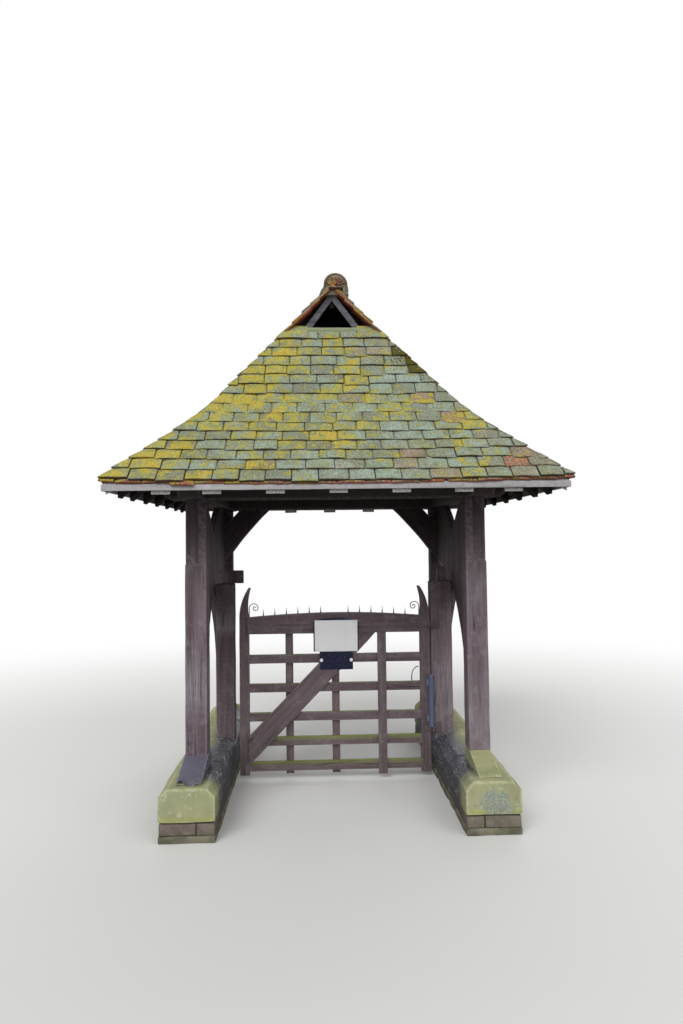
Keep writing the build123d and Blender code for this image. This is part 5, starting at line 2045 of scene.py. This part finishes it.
@dataclass
class TimberFrame:
    """Posts, beams, plates, braces, rafters, boards and gablets, each worn as old oak, with painted shade in
    the passage, under the roof and behind the gablets.
    """

    yard: Yard
    heavy: Weathering = Weathering(arris=0.006, step=0.09, across=0.08, wander=0.0022, rough=0.0005)
    light: Weathering = Weathering(arris=0.0025, step=0.16, across=0.12, wander=0.0022)
    board: Weathering = Weathering(arris=0.002, step=0.10, across=0.06, wander=0.0018)
    heavy_nodes: tuple[str, ...] = (
        "post_front_left",
        "post_front_right",
        "post_rear_left",
        "post_rear_right",
        "gate_post_left",
        "gate_post_right",
        "tie_beam_front",
        "tie_beam_rear",
        "wall_plate_left",
        "wall_plate_right",
        "tie_braces_rear",
        "arch_braces_left",
        "arch_braces_right",
    )
    light_nodes: tuple[str, ...] = (
        "rafter_plates_sides",
        "rafter_plates_ends",
        "hip_rafters",
        "rafters_front",
        "rafters_rear",
        "rafters_left",
        "rafters_right",
        "collars",
    )
    board_nodes: tuple[str, ...] = (
        "ridge_board",
        "gablet_front",
        "gablet_rear",
        "eaves_boards_sides",
        "eaves_boards_ends",
    )
    scuffs: tuple[Scuff, ...] = (
        Scuff("gate_post_left", 1.18, 0.07, 0.7),
        Scuff("post_front_left", 0.86, 0.16, 0.45),
        Scuff("gate_post_right", 0.62, 0.34, 0.35),
        Scuff("post_front_right", 0.60, 0.30, 0.30),
    )
    shaded: tuple[str, ...] = (
        "gate_post_left", "post_rear_left", "post_rear_right", "rafters_left", "rafters_right"
    )
    # Shares of painted shade: side rafters, timbers in the passage, and timbers above a height up under the
    # tiles.
    eaves_shade: float = 0.7
    shade: float = 0.42
    least_shade: float = 0.4
    roof_shade_from: float = 3.2
    dark: float = 0.95
    sill_top: float = 3.357
    feet_from: float = 1.15
    feet_fade: float = 0.05
    lining_within: float = 0.235

    def build(self) -> None:
        """Dresses every timber of the frame."""
        finishes = self.yard.finishes
        scuffs = {scuff.node: scuff for scuff in self.scuffs}
        for node in self.heavy_nodes:
            marks: Marks = {"patch": scuffs[node].share} if node in scuffs else {}
            if node in self.shaded:
                marks["soot"] = self.in_passage_shade
            self.yard.weathered(node, finishes.oak, "oak_frame", Body.FRAME, self.heavy, marks)
        for node in self.light_nodes:
            marks = {"patch": self.bleached_foot, "soot": self.in_roof_shade}
            if node in self.shaded:
                marks = {"soot": self.in_eaves_shade}
            self.yard.weathered(node, finishes.soffit, "oak_frame", Body.FRAME, self.light, marks)
        for node in self.board_nodes:
            if node.startswith("gablet"):
                # Painted shade on the lining behind the gablet's boards, and green along the sill.
                marks = {"soot": self.lining_shade, "moss": self.sill_end}
                self.yard.weathered(node, finishes.gablet, "weathered_board", Body.FRAME, self.board, marks)
            else:
                marks = {"soot": self.in_roof_shade}
                self.yard.weathered(node, finishes.board, "weathered_board", Body.FRAME, self.board, marks)

    def in_passage_shade(self, place: Vector) -> float:
        """Gives how much darker a timber in the shade of the passage is, least near the ground."""
        return self.shade * min(1.0, max(self.least_shade, place.z))

    def bleached_foot(self, place: Vector) -> float:
        """Tells how bleached a rafter is at a place: its foot outside the plate is grey."""
        outward = max(abs(place.x), abs(place.y))
        return min(1.0, max(0.0, (outward - self.feet_from) / self.feet_fade))

    def in_roof_shade(self, place: Vector) -> float:
        """Gives the painted shade of a timber at a place: near black where it lies up under the tiles."""
        return self.dark if place.z > self.roof_shade_from else 0.0

    def in_eaves_shade(self, place: Vector) -> float:
        """Gives the painted shade of a side rafter at a place: dark all along, and most under the tiles."""
        return max(self.eaves_shade, self.in_roof_shade(place))

    def sill_end(self, place: Vector) -> float:
        """Tells whether a place is on the gablet's sill, which is green all along."""
        return 1.0 if place.z < self.sill_top and abs(place.y) > self.lining_within else 0.0

    def lining_shade(self, place: Vector) -> float:
        """Tells whether a place is on the lining that closes the gablet, painted near black as the shade
        behind the boards.
        """
        return 1.0 if abs(place.y) < self.lining_within else 0.0


# Plinths


@dataclass
class Plinth:
    """One low wall: a course of bricks on a rough footing, coping stones on it and stools on them."""

    yard: Yard
    side: Side
    inner: float = 0.755
    width: float = 0.345
    half_long: float = 1.155
    coping_base: float = 0.123
    coping_top: float = 0.323
    shoulder: float = 0.050
    joint: float = 0.010
    stone_joints: tuple[float, ...] = (-0.61, -0.05, 0.55)
    brick_long: float = 0.214
    brick_wide: float = 0.104
    brick_low: float = 0.046
    brick_top: float = 0.114
    set_back: float = 0.006
    brick_tilt: float = 0.002
    fill_set_back: float = 0.007
    fill_low: float = 0.03
    fill_lap: float = 0.004
    fill_dark: float = 0.8
    foot_set_back: float = 0.001
    foot_gap: float = 0.004
    core_set_back: float = 0.012
    core_lap: float = 0.002
    core_drop: float = 0.062
    crust_middle: float = 0.52
    crust_wide: float = 0.36
    crust_up: float = 0.06
    crust_tall: float = 0.078
    crust_deep: float = 0.02
    faint_crust: float = 0.3
    rub_from: float = 0.10
    rub_fade: float = 0.12
    rub_end: float = 0.09
    rub_end_fade: float = 0.16
    lead_growth: float = 1.1
    lead_low: float = 0.016
    lead_ragged: float = 0.03
    lead_tatter: float = 24.0
    draw: random.Random = field(init=False)

    def __post_init__(self) -> None:
        """Starts the random numbers of the wall."""
        self.draw = random.Random(f"plinth_{self.side.name.lower()}")

    def build(self) -> None:
        """Builds the wall: stones, stools, lead, bricks and mortar."""
        side = self.side.name.lower()
        finishes = self.yard.finishes
        piece = self.yard.piece
        stones, coping = self.coping_stones(), (f"coping_{side}",)
        piece(f"coping_stones_{side}", stones, finishes.stone, "coping_stone", Body.FRAME, coping)
        stool_wear = Weathering(
            arris=0.007, step=0.05, across=0.05, wander=0.003, wander_scale=9.0, rough=0.0012
        )
        self.yard.weathered(f"stools_{side}", finishes.mossy_stone, "coping_stone", Body.FRAME, stool_wear)
        if self.side is Side.LEFT:
            piece("lead_dressing", self.lead_dressing(), finishes.lead, "coping_stone", Body.FRAME)
        bricks = self.bricks()
        piece(f"bricks_{side}", bricks, finishes.brick, "footing_brick", Body.FRAME, (f"plinth_{side}",))
        piece(f"mortar_{side}", self.mortar(), finishes.mortar, "footing_brick", Body.FRAME)

    def lead_dressing(self) -> Mesh:
        """Builds the sheet of lead dressed over the front stool, with its ragged lower edge.

        Returns:
            Its mesh.
        """
        mesh, _ = fresh_mesh()
        wear = Weathering(
            arris=0.010, step=0.012, across=0.012, wander=0.0036, wander_scale=30.0, rough=0.0012
        )
        for points, faces in solids_of(f"stools_{self.side.name.lower()}"):
            if max(point.y for point in points) < 0:
                middle = sum(points, Vector()) / len(points)
                grown = [middle + (point - middle) * self.lead_growth for point in points]
                wear.work(mesh, grown, faces, self.draw.random())
        for vert in mesh.verts:
            ragged = self.lead_ragged * noise.noise(vert.co * self.lead_tatter)
            vert.co.z = max(vert.co.z, self.coping_top + self.lead_low + ragged)
        bmesh.ops.remove_doubles(mesh, verts=mesh.verts[:], dist=1e-5)
        return mesh

    def across(self, depth: float) -> float:
        """Gives the X of a place by its depth from the inner face."""
        return self.side.value * (self.inner + depth)

    def coping_stones(self) -> Mesh:
        """Builds the coping stones with worn corners and rubbed inner sides.

        Returns:
            Their mesh.
        """
        mesh, layers = fresh_mesh()
        wear = Weathering(
            arris=0.012,
            step=0.035,
            across=0.035,
            wander=0.005,
            wander_scale=6.0,
            rough=0.0016,
            rough_scale=34.0,
        )
        shoulder_z = self.coping_top - self.shoulder
        outline = [
            (self.across(0.0), self.coping_base),
            (self.across(self.width), self.coping_base),
            (self.across(self.width), shoulder_z),
            (self.across(self.width - self.shoulder), self.coping_top),
            (self.across(self.shoulder), self.coping_top),
            (self.across(0.0), shoulder_z),
        ]
        ends = (-self.half_long, *self.stone_joints, self.half_long)
        for low, high in zip(ends, ends[1:]):
            start = low + (self.joint / 2 if low > -self.half_long else 0.0)
            stop = high - (self.joint / 2 if high < self.half_long else 0.0)
            points, faces = prism_solid(outline, start, stop)
            for vert in wear.work(mesh, points, faces, self.draw.random()):
                layers.mark([vert], rub=self.rubbed(vert.co), patch=self.crusted(vert.co))
        return mesh

    def crusted(self, place: Vector) -> float:
        """Tells how thick the grey crust is at a place: a patch in the middle of each end face.

        Args:
            place: The place.

        Returns:
            The share, from 0 to 1.
        """
        off_end = (self.half_long - abs(place.y)) / self.crust_deep
        depth = self.side.value * place.x - self.inner - self.width * self.crust_middle
        depth /= self.width * self.crust_wide
        low = (place.z - self.coping_base - self.crust_up) / self.crust_tall
        strength = 1.0 if self.side is Side.RIGHT else self.faint_crust
        return strength * math.exp(-(depth**2) - low**2 - off_end**2)

    def rubbed(self, place: Vector) -> float:
        """Tells how far the passage side is rubbed grey at a place, from 0 to 1.

        Args:
            place: The place.

        Returns:
            The share, which fades over the inner shoulder and towards the ends.
        """
        depth = self.side.value * place.x - self.inner
        over_shoulder = 1.0 - min(1.0, max(0.0, (depth - self.rub_from) / self.rub_fade))
        from_end = self.half_long - abs(place.y) - self.rub_end
        return over_shoulder * min(1.0, max(0.0, from_end / self.rub_end_fade))

    def bricks(self) -> Mesh:
        """Builds the course of bricks round the wall, over a rough footing course.

        Returns:
            Their mesh.
        """
        mesh, layers = fresh_mesh()
        wear = Weathering(
            arris=0.006, step=0.04, across=0.035, wander=0.0025, wander_scale=14.0, rough=0.001
        )
        far = self.width - self.set_back
        spots = []
        for end in (-1, 1):
            edge = end * (self.half_long - self.set_back)
            back = edge - end * self.brick_wide
            spots.append((self.set_back, self.set_back + self.brick_wide, edge, back))
            spots.append((self.set_back + self.brick_wide + self.joint, far, edge, back))
        run_from = -self.half_long + self.set_back + self.brick_wide + self.joint
        run_to = -run_from
        count = round((run_to - run_from) / (self.brick_long + self.joint))
        pitch = (run_to - run_from + self.joint) / count
        for n in range(count):
            low = run_from + n * pitch
            high = low + pitch - self.joint
            spots.append((self.set_back, self.set_back + self.brick_wide, low, high))
            spots.append((far - self.brick_wide, far, low, high))
        for near, away, y_one, y_two in spots:
            tilt = jitter(self.draw, self.brick_tilt)
            points, faces = self.block(
                (near, away), (y_one, y_two), (self.brick_low + tilt, self.brick_top + tilt)
            )
            for vert in wear.work(mesh, points, faces, self.draw.random()):
                layers.mark([vert], rub=self.rubbed(vert.co))
        return mesh

    def mortar(self) -> Mesh:
        """Builds the mortar in the joints and the rough footing.

        Returns:
            Its mesh.
        """
        mesh, layers = fresh_mesh()
        fill = Weathering(arris=0.002, step=0.03, across=0.05, wander=0.003, wander_scale=18.0, rough=0.0014)
        foot = Weathering(arris=0.008, step=0.035, across=0.04, wander=0.006, wander_scale=9.0, rough=0.002)
        core = Weathering(arris=0.0, step=0.2, across=0.1, wander=0.0)
        for wear, inset, low, high in (
            (fill, self.set_back + self.fill_set_back, self.fill_low, self.coping_base + self.fill_lap),
            (foot, self.foot_set_back, 0.0, self.brick_low - self.foot_gap),
            (
                core,
                self.core_set_back,
                self.coping_base - self.core_lap,
                self.coping_top - self.core_drop,
            ),
        ):
            end_y = self.half_long - inset
            points, faces = self.block((inset, self.width - inset), (-end_y, end_y), (low, high))
            made = wear.work(mesh, points, faces, self.draw.random())
            # The fill mortar between the bricks and under the coping is drawn darker.
            if wear is fill:
                layers.mark(made, soot=self.fill_dark)
            for vert in made:
                vert.co.z = max(0.0, vert.co.z)
        return mesh

    def block(self, depths: tuple, ys: tuple, levels: tuple) -> Solid:
        """Gives a block in the wall by its two depths from the inner face, its two ends and its levels."""
        xs = sorted(self.across(depth) for depth in depths)
        return box_solid((xs[0], min(ys), levels[0]), (xs[1], max(ys), levels[1]))


# Gate


@dataclass
class Gate:
    """The hanging gate: timbers, ironwork, closer tube and plain notice."""

    yard: Yard
    timber: Weathering = Weathering(arris=0.0035, step=0.07, across=0.05, wander=0.0013, rough=0.0004)
    thin: Weathering = Weathering(arris=0.002, step=0.08, across=0.05, wander=0.0009, rough=0.0003)
    iron: Weathering = Weathering(arris=0.0006, step=0.02, across=0.03, wander=0.0003)
    plate: Weathering = Weathering(arris=0.0008, step=0.05, across=0.05, wander=0.0005)
    bearing: Weathering = Weathering(arris=0.0004, step=0.03, across=0.03, wander=0.0)
    timber_nodes: tuple[str, ...] = ("gate_slam_stile", "gate_hanging_stile", "gate_top_rail", "gate_rails")
    thin_nodes: tuple[str, ...] = ("gate_uprights", "gate_diagonal")
    iron_nodes: tuple[str, ...] = ("gate_spikes", "gate_scrolls")
    green_tops: tuple[float, ...] = (0.139, 0.322)
    green_reach: float = 0.02
    head_from: float = 1.088
    head_lap: float = 0.006
    head_shade: float = 0.3
    screw_radius: float = 0.006
    screw_up: float = 0.05
    spot_radius: float = 0.013
    disc_proud: float = 0.0015
    spots: tuple[tuple[float, float], ...] = ((-0.104, 0.897), (0.122, 0.897))
    hook_centre: Vector = field(default_factory=lambda: Vector((0.638, 0.012, 0.742)))
    hook_wide: float = 0.05
    hook_tall: float = 0.084
    hook_from: float = 85.0
    hook_to: float = 205.0
    hook_radius: float = 0.004

    def build(self) -> None:
        """Dresses every piece of the gate, and the pins it hangs on."""
        finishes = self.yard.finishes
        for node in self.timber_nodes:
            marks = {"moss": self.green_rail} if node == "gate_rails" else {}
            self.yard.weathered(node, finishes.gate, "gate_timber", Body.GATE, self.timber, marks)
        for node in self.thin_nodes:
            marks = {"soot": self.shaded_head}
            piece = self.yard.weathered(node, finishes.gate, "gate_timber", Body.GATE, self.thin, marks)
            for vert in piece.data.vertices:
                if vert.co.z > self.head_from:
                    vert.co.z += self.head_lap
        for node in self.iron_nodes:
            self.yard.weathered(node, finishes.iron, "black_iron", Body.GATE, self.iron)
        self.yard.weathered("gate_hinges", finishes.stained_iron, "black_iron", Body.GATE, self.bearing)
        self.yard.weathered("hinge_pins", finishes.stained_iron, "black_iron", Body.FRAME, self.bearing)
        self.yard.weathered("closer_tube", finishes.tube, "tube_grey", Body.GATE, self.iron)
        self.yard.weathered("gate_notice", finishes.white, "notice_white", Body.GATE, self.plate)
        self.yard.weathered("gate_notice_back", finishes.navy, "notice_navy", Body.GATE, self.plate)
        screws = self.screws()
        self.yard.piece("gate_screws", screws, finishes.lead, "tube_grey", Body.GATE)
        spots, _ = fresh_mesh()
        back = bpy.data.objects["gate_notice_back"].data
        face_y = min(vert.co.y for vert in back.vertices)
        for x, z in self.spots:
            self.add_disc(spots, Vector((x, face_y, z)), self.spot_radius)
        self.yard.piece("notice_bolt_heads", spots, finishes.white, "notice_white", Body.GATE)
        self.yard.piece("closer_hook", self.hook(), finishes.tube, "tube_grey", Body.GATE)

    def green_rail(self, place: Vector) -> float:
        """Tells how green a rail is at a place: the two lowest are, along their upper corners."""
        return max(math.exp(-(((place.z - top) / self.green_reach) ** 2)) for top in self.green_tops)

    def hook(self) -> Mesh:
        """Builds the bent iron rod that stands off the hanging stile above the closer.

        Returns:
            Its mesh.
        """
        mesh, _ = fresh_mesh()
        sides, bends = 8, 12
        rings = []
        for n in range(bends + 1):
            angle = math.radians(self.hook_from + (self.hook_to - self.hook_from) * n / bends)
            arm = Vector((self.hook_wide * math.cos(angle), 0.0, self.hook_tall * math.sin(angle)))
            ring = []
            for side in range(sides):
                turn = math.tau * side / sides
                spoke = arm.normalized() * math.cos(turn) + Vector((0.0, math.sin(turn), 0.0))
                ring.append(mesh.verts.new(self.hook_centre + arm + spoke * self.hook_radius))
            rings.append(ring)
        join_rings(mesh, rings)
        bmesh.ops.recalc_face_normals(mesh, faces=mesh.faces[:])
        return mesh

    def shaded_head(self, place: Vector) -> float:
        """Tells how dark a thin timber is at a place: its head lies in the shade of the top rail."""
        return self.head_shade if place.z > self.head_from else 0.0

    def screws(self) -> Mesh:
        """Builds a screw head where each upright crosses a rail, and a row along the top rail.

        Returns:
            Their mesh.
        """
        mesh, _ = fresh_mesh()
        rails = [self.box_of(points) for points, _ in solids_of("gate_rails")]
        uprights = [self.box_of(points) for points, _ in solids_of("gate_uprights")]
        places = []
        for low_u, high_u in uprights:
            for low_r, high_r in rails:
                x, z = (low_u.x + high_u.x) / 2, (low_r.z + high_r.z) / 2
                if low_r.x < x < high_r.x and low_u.z < z < high_u.z:
                    places.append(Vector((x, min(low_u.y, low_r.y), z)))
        for points, _ in solids_of("gate_top_rail"):
            low, _ = self.box_of(points)
            for low_u, high_u in uprights:
                places.append(Vector(((low_u.x + high_u.x) / 2, low.y, low.z + self.screw_up)))
        for place in places:
            self.add_disc(mesh, place, self.screw_radius)
        return mesh

    @staticmethod
    def box_of(points: list[Vector]) -> tuple[Vector, Vector]:
        """Gives the lowest and the highest corner of some points."""
        low, high = [Vector(pick(axis) for axis in zip(*points)) for pick in (min, max)]
        return low, high

    def add_disc(self, target: Mesh, place: Vector, wide: float) -> None:
        """Adds a domed head that faces the road.

        Args:
            target: Mesh that it goes into.
            place: Middle of its seat.
            wide: Its radius.
        """
        sides, seat, crown = 12, 0.002, 0.6
        ring = [math.tau * n / sides for n in range(sides)]
        rows = []
        for y, radius in ((seat, wide), (-self.disc_proud * 0.5, wide), (-self.disc_proud, wide * crown)):
            offsets = [Vector((radius * math.cos(angle), y, radius * math.sin(angle))) for angle in ring]
            rows.append([target.verts.new(place + offset) for offset in offsets])
        join_rings(target, rows)


# Studio


@dataclass(frozen=True)
class Lamp:
    """One broad lamp: its strength, and its spread, tilt and heading in degrees."""

    name: str
    strength: float
    spread: float
    tilt: float
    heading: float


@dataclass
class Studio:
    """Pale floor, plain soft light and the camera at the photograph's viewing angle."""

    camera_place: tuple[float, float, float] = (-0.14, -5.585, 1.78)
    lens: float = 25.49
    sensor: float = 36.0
    pitch: float = 2.45
    yaw: float = 2.09
    roll: float = 0.7
    floor_half: float = 60.0
    floor_drop: float = 0.001
    fade_near: float = 3.0
    fade_far: float = 9.0
    floor_bounce: Colour = srgb(150, 148, 144)
    floor_seen: Colour = srgb(232, 232, 230)
    fill_light: float = 0.38
    lamps: tuple[Lamp, ...] = (
        Lamp("main_light", 1.35, spread=35.0, tilt=50.0, heading=-28.0),
        Lamp("front_light", 0.95, spread=60.0, tilt=78.0, heading=8.0),
        Lamp("side_light", 0.5, spread=50.0, tilt=58.0, heading=48.0),
        Lamp("back_light", 0.7, spread=50.0, tilt=52.0, heading=170.0),
    )

    def build(self) -> None:
        """Builds the camera, the lamps, the world and the floor."""
        self.build_camera()
        self.build_lights()
        self.build_world()
        self.build_floor()
        bpy.context.scene.view_settings.view_transform = "Standard"

    def build_camera(self) -> None:
        """Sets the camera where the photograph was taken."""
        data = bpy.data.cameras.new("camera")
        data.lens = self.lens
        data.sensor_width = self.sensor
        camera = bpy.data.objects.new("camera", data)
        turn = (
            Matrix.Rotation(math.radians(-self.yaw), 4, "Z")
            @ Matrix.Rotation(math.radians(90 + self.pitch), 4, "X")
            @ Matrix.Rotation(math.radians(-self.roll), 4, "Z")
        )
        camera.matrix_world = Matrix.Translation(self.camera_place) @ turn
        bpy.context.scene.collection.objects.link(camera)
        bpy.context.scene.camera = camera

    def build_lights(self) -> None:
        """Hangs the main lamp above on the left, and weaker ones in front, on the right and behind."""
        for lamp in self.lamps:
            data = bpy.data.lights.new(lamp.name, "SUN")
            data.energy = lamp.strength
            data.angle = math.radians(lamp.spread)
            hung = bpy.data.objects.new(lamp.name, data)
            hung.rotation_euler = (math.radians(lamp.tilt), 0.0, math.radians(lamp.heading))
            bpy.context.scene.collection.objects.link(hung)

    def build_world(self) -> None:
        """Makes the world white to the camera and in gloss, and an even soft light to all else."""
        world = bpy.data.worlds.new("studio")
        world.use_nodes = True
        bpy.context.scene.world = world
        graph = Graph(world.node_tree)
        path = graph.add("ShaderNodeLightPath")
        seen = graph.math("MAXIMUM", path.outputs["Is Camera Ray"], path.outputs["Is Glossy Ray"])
        seen = graph.math("MAXIMUM", seen, path.outputs["Is Transmission Ray"])
        background = world.node_tree.nodes["Background"]
        background.inputs["Color"].default_value = (1.0, 1.0, 1.0, 1.0)
        strength = graph.plus(self.fill_light, graph.times(seen, 1.0 - self.fill_light))
        world.node_tree.links.new(strength, background.inputs["Strength"])

    def build_floor(self) -> None:
        """Lays the floor, which keeps the shadow near the object and fades to white far off."""
        material = bpy.data.materials.new("floor")
        material.use_nodes = True
        graph = Graph(material.node_tree)
        nodes = material.node_tree.nodes
        nodes.remove(nodes["Principled BSDF"])
        path = graph.add("ShaderNodeLightPath")
        place = graph.stretch(graph.place(), (1.0, 1.0, 0.0))
        far = graph.add("ShaderNodeVectorMath", {0: place}, operation="LENGTH").outputs["Value"]
        fade = graph.times(graph.step(far, self.fade_near, self.fade_far), path.outputs["Is Camera Ray"])
        tone = graph.mix(path.outputs["Is Camera Ray"], self.floor_bounce, self.floor_seen)
        matt = graph.add("ShaderNodeBsdfDiffuse", {"Color": tone})
        glow = graph.add("ShaderNodeEmission", {"Color": (1.0, 1.0, 1.0, 1.0), "Strength": 1.0})
        joined = graph.add("ShaderNodeMixShader", {0: fade, 1: matt.outputs[0], 2: glow.outputs[0]})
        material.node_tree.links.new(joined.outputs[0], nodes["Material Output"].inputs["Surface"])
        half = self.floor_half
        corners = [(x * half, y * half, -self.floor_drop) for x, y in ((-1, -1), (1, -1), (1, 1), (-1, 1))]
        mesh = bpy.data.meshes.new("floor")
        mesh.from_pydata(corners, [], [(0, 1, 2, 3)])
        mesh.materials.append(material)
        floor = bpy.data.objects.new("floor", mesh)
        bpy.context.scene.collection.objects.link(floor)


def main() -> None:
    logging.basicConfig(level=logging.INFO, format="%(name)s %(message)s")
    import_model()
    yard = Yard(Finishes(Effects()))
    for slope in Slope:
        TiledSlope(yard, RoofProfile(), slope).build()
    Ridge(yard).build()
    TimberFrame(yard).build()
    for side in Side:
        Plinth(yard, side).build()
    Gate(yard).build()
    Studio().build()


if __name__ == "__main__":
    main()
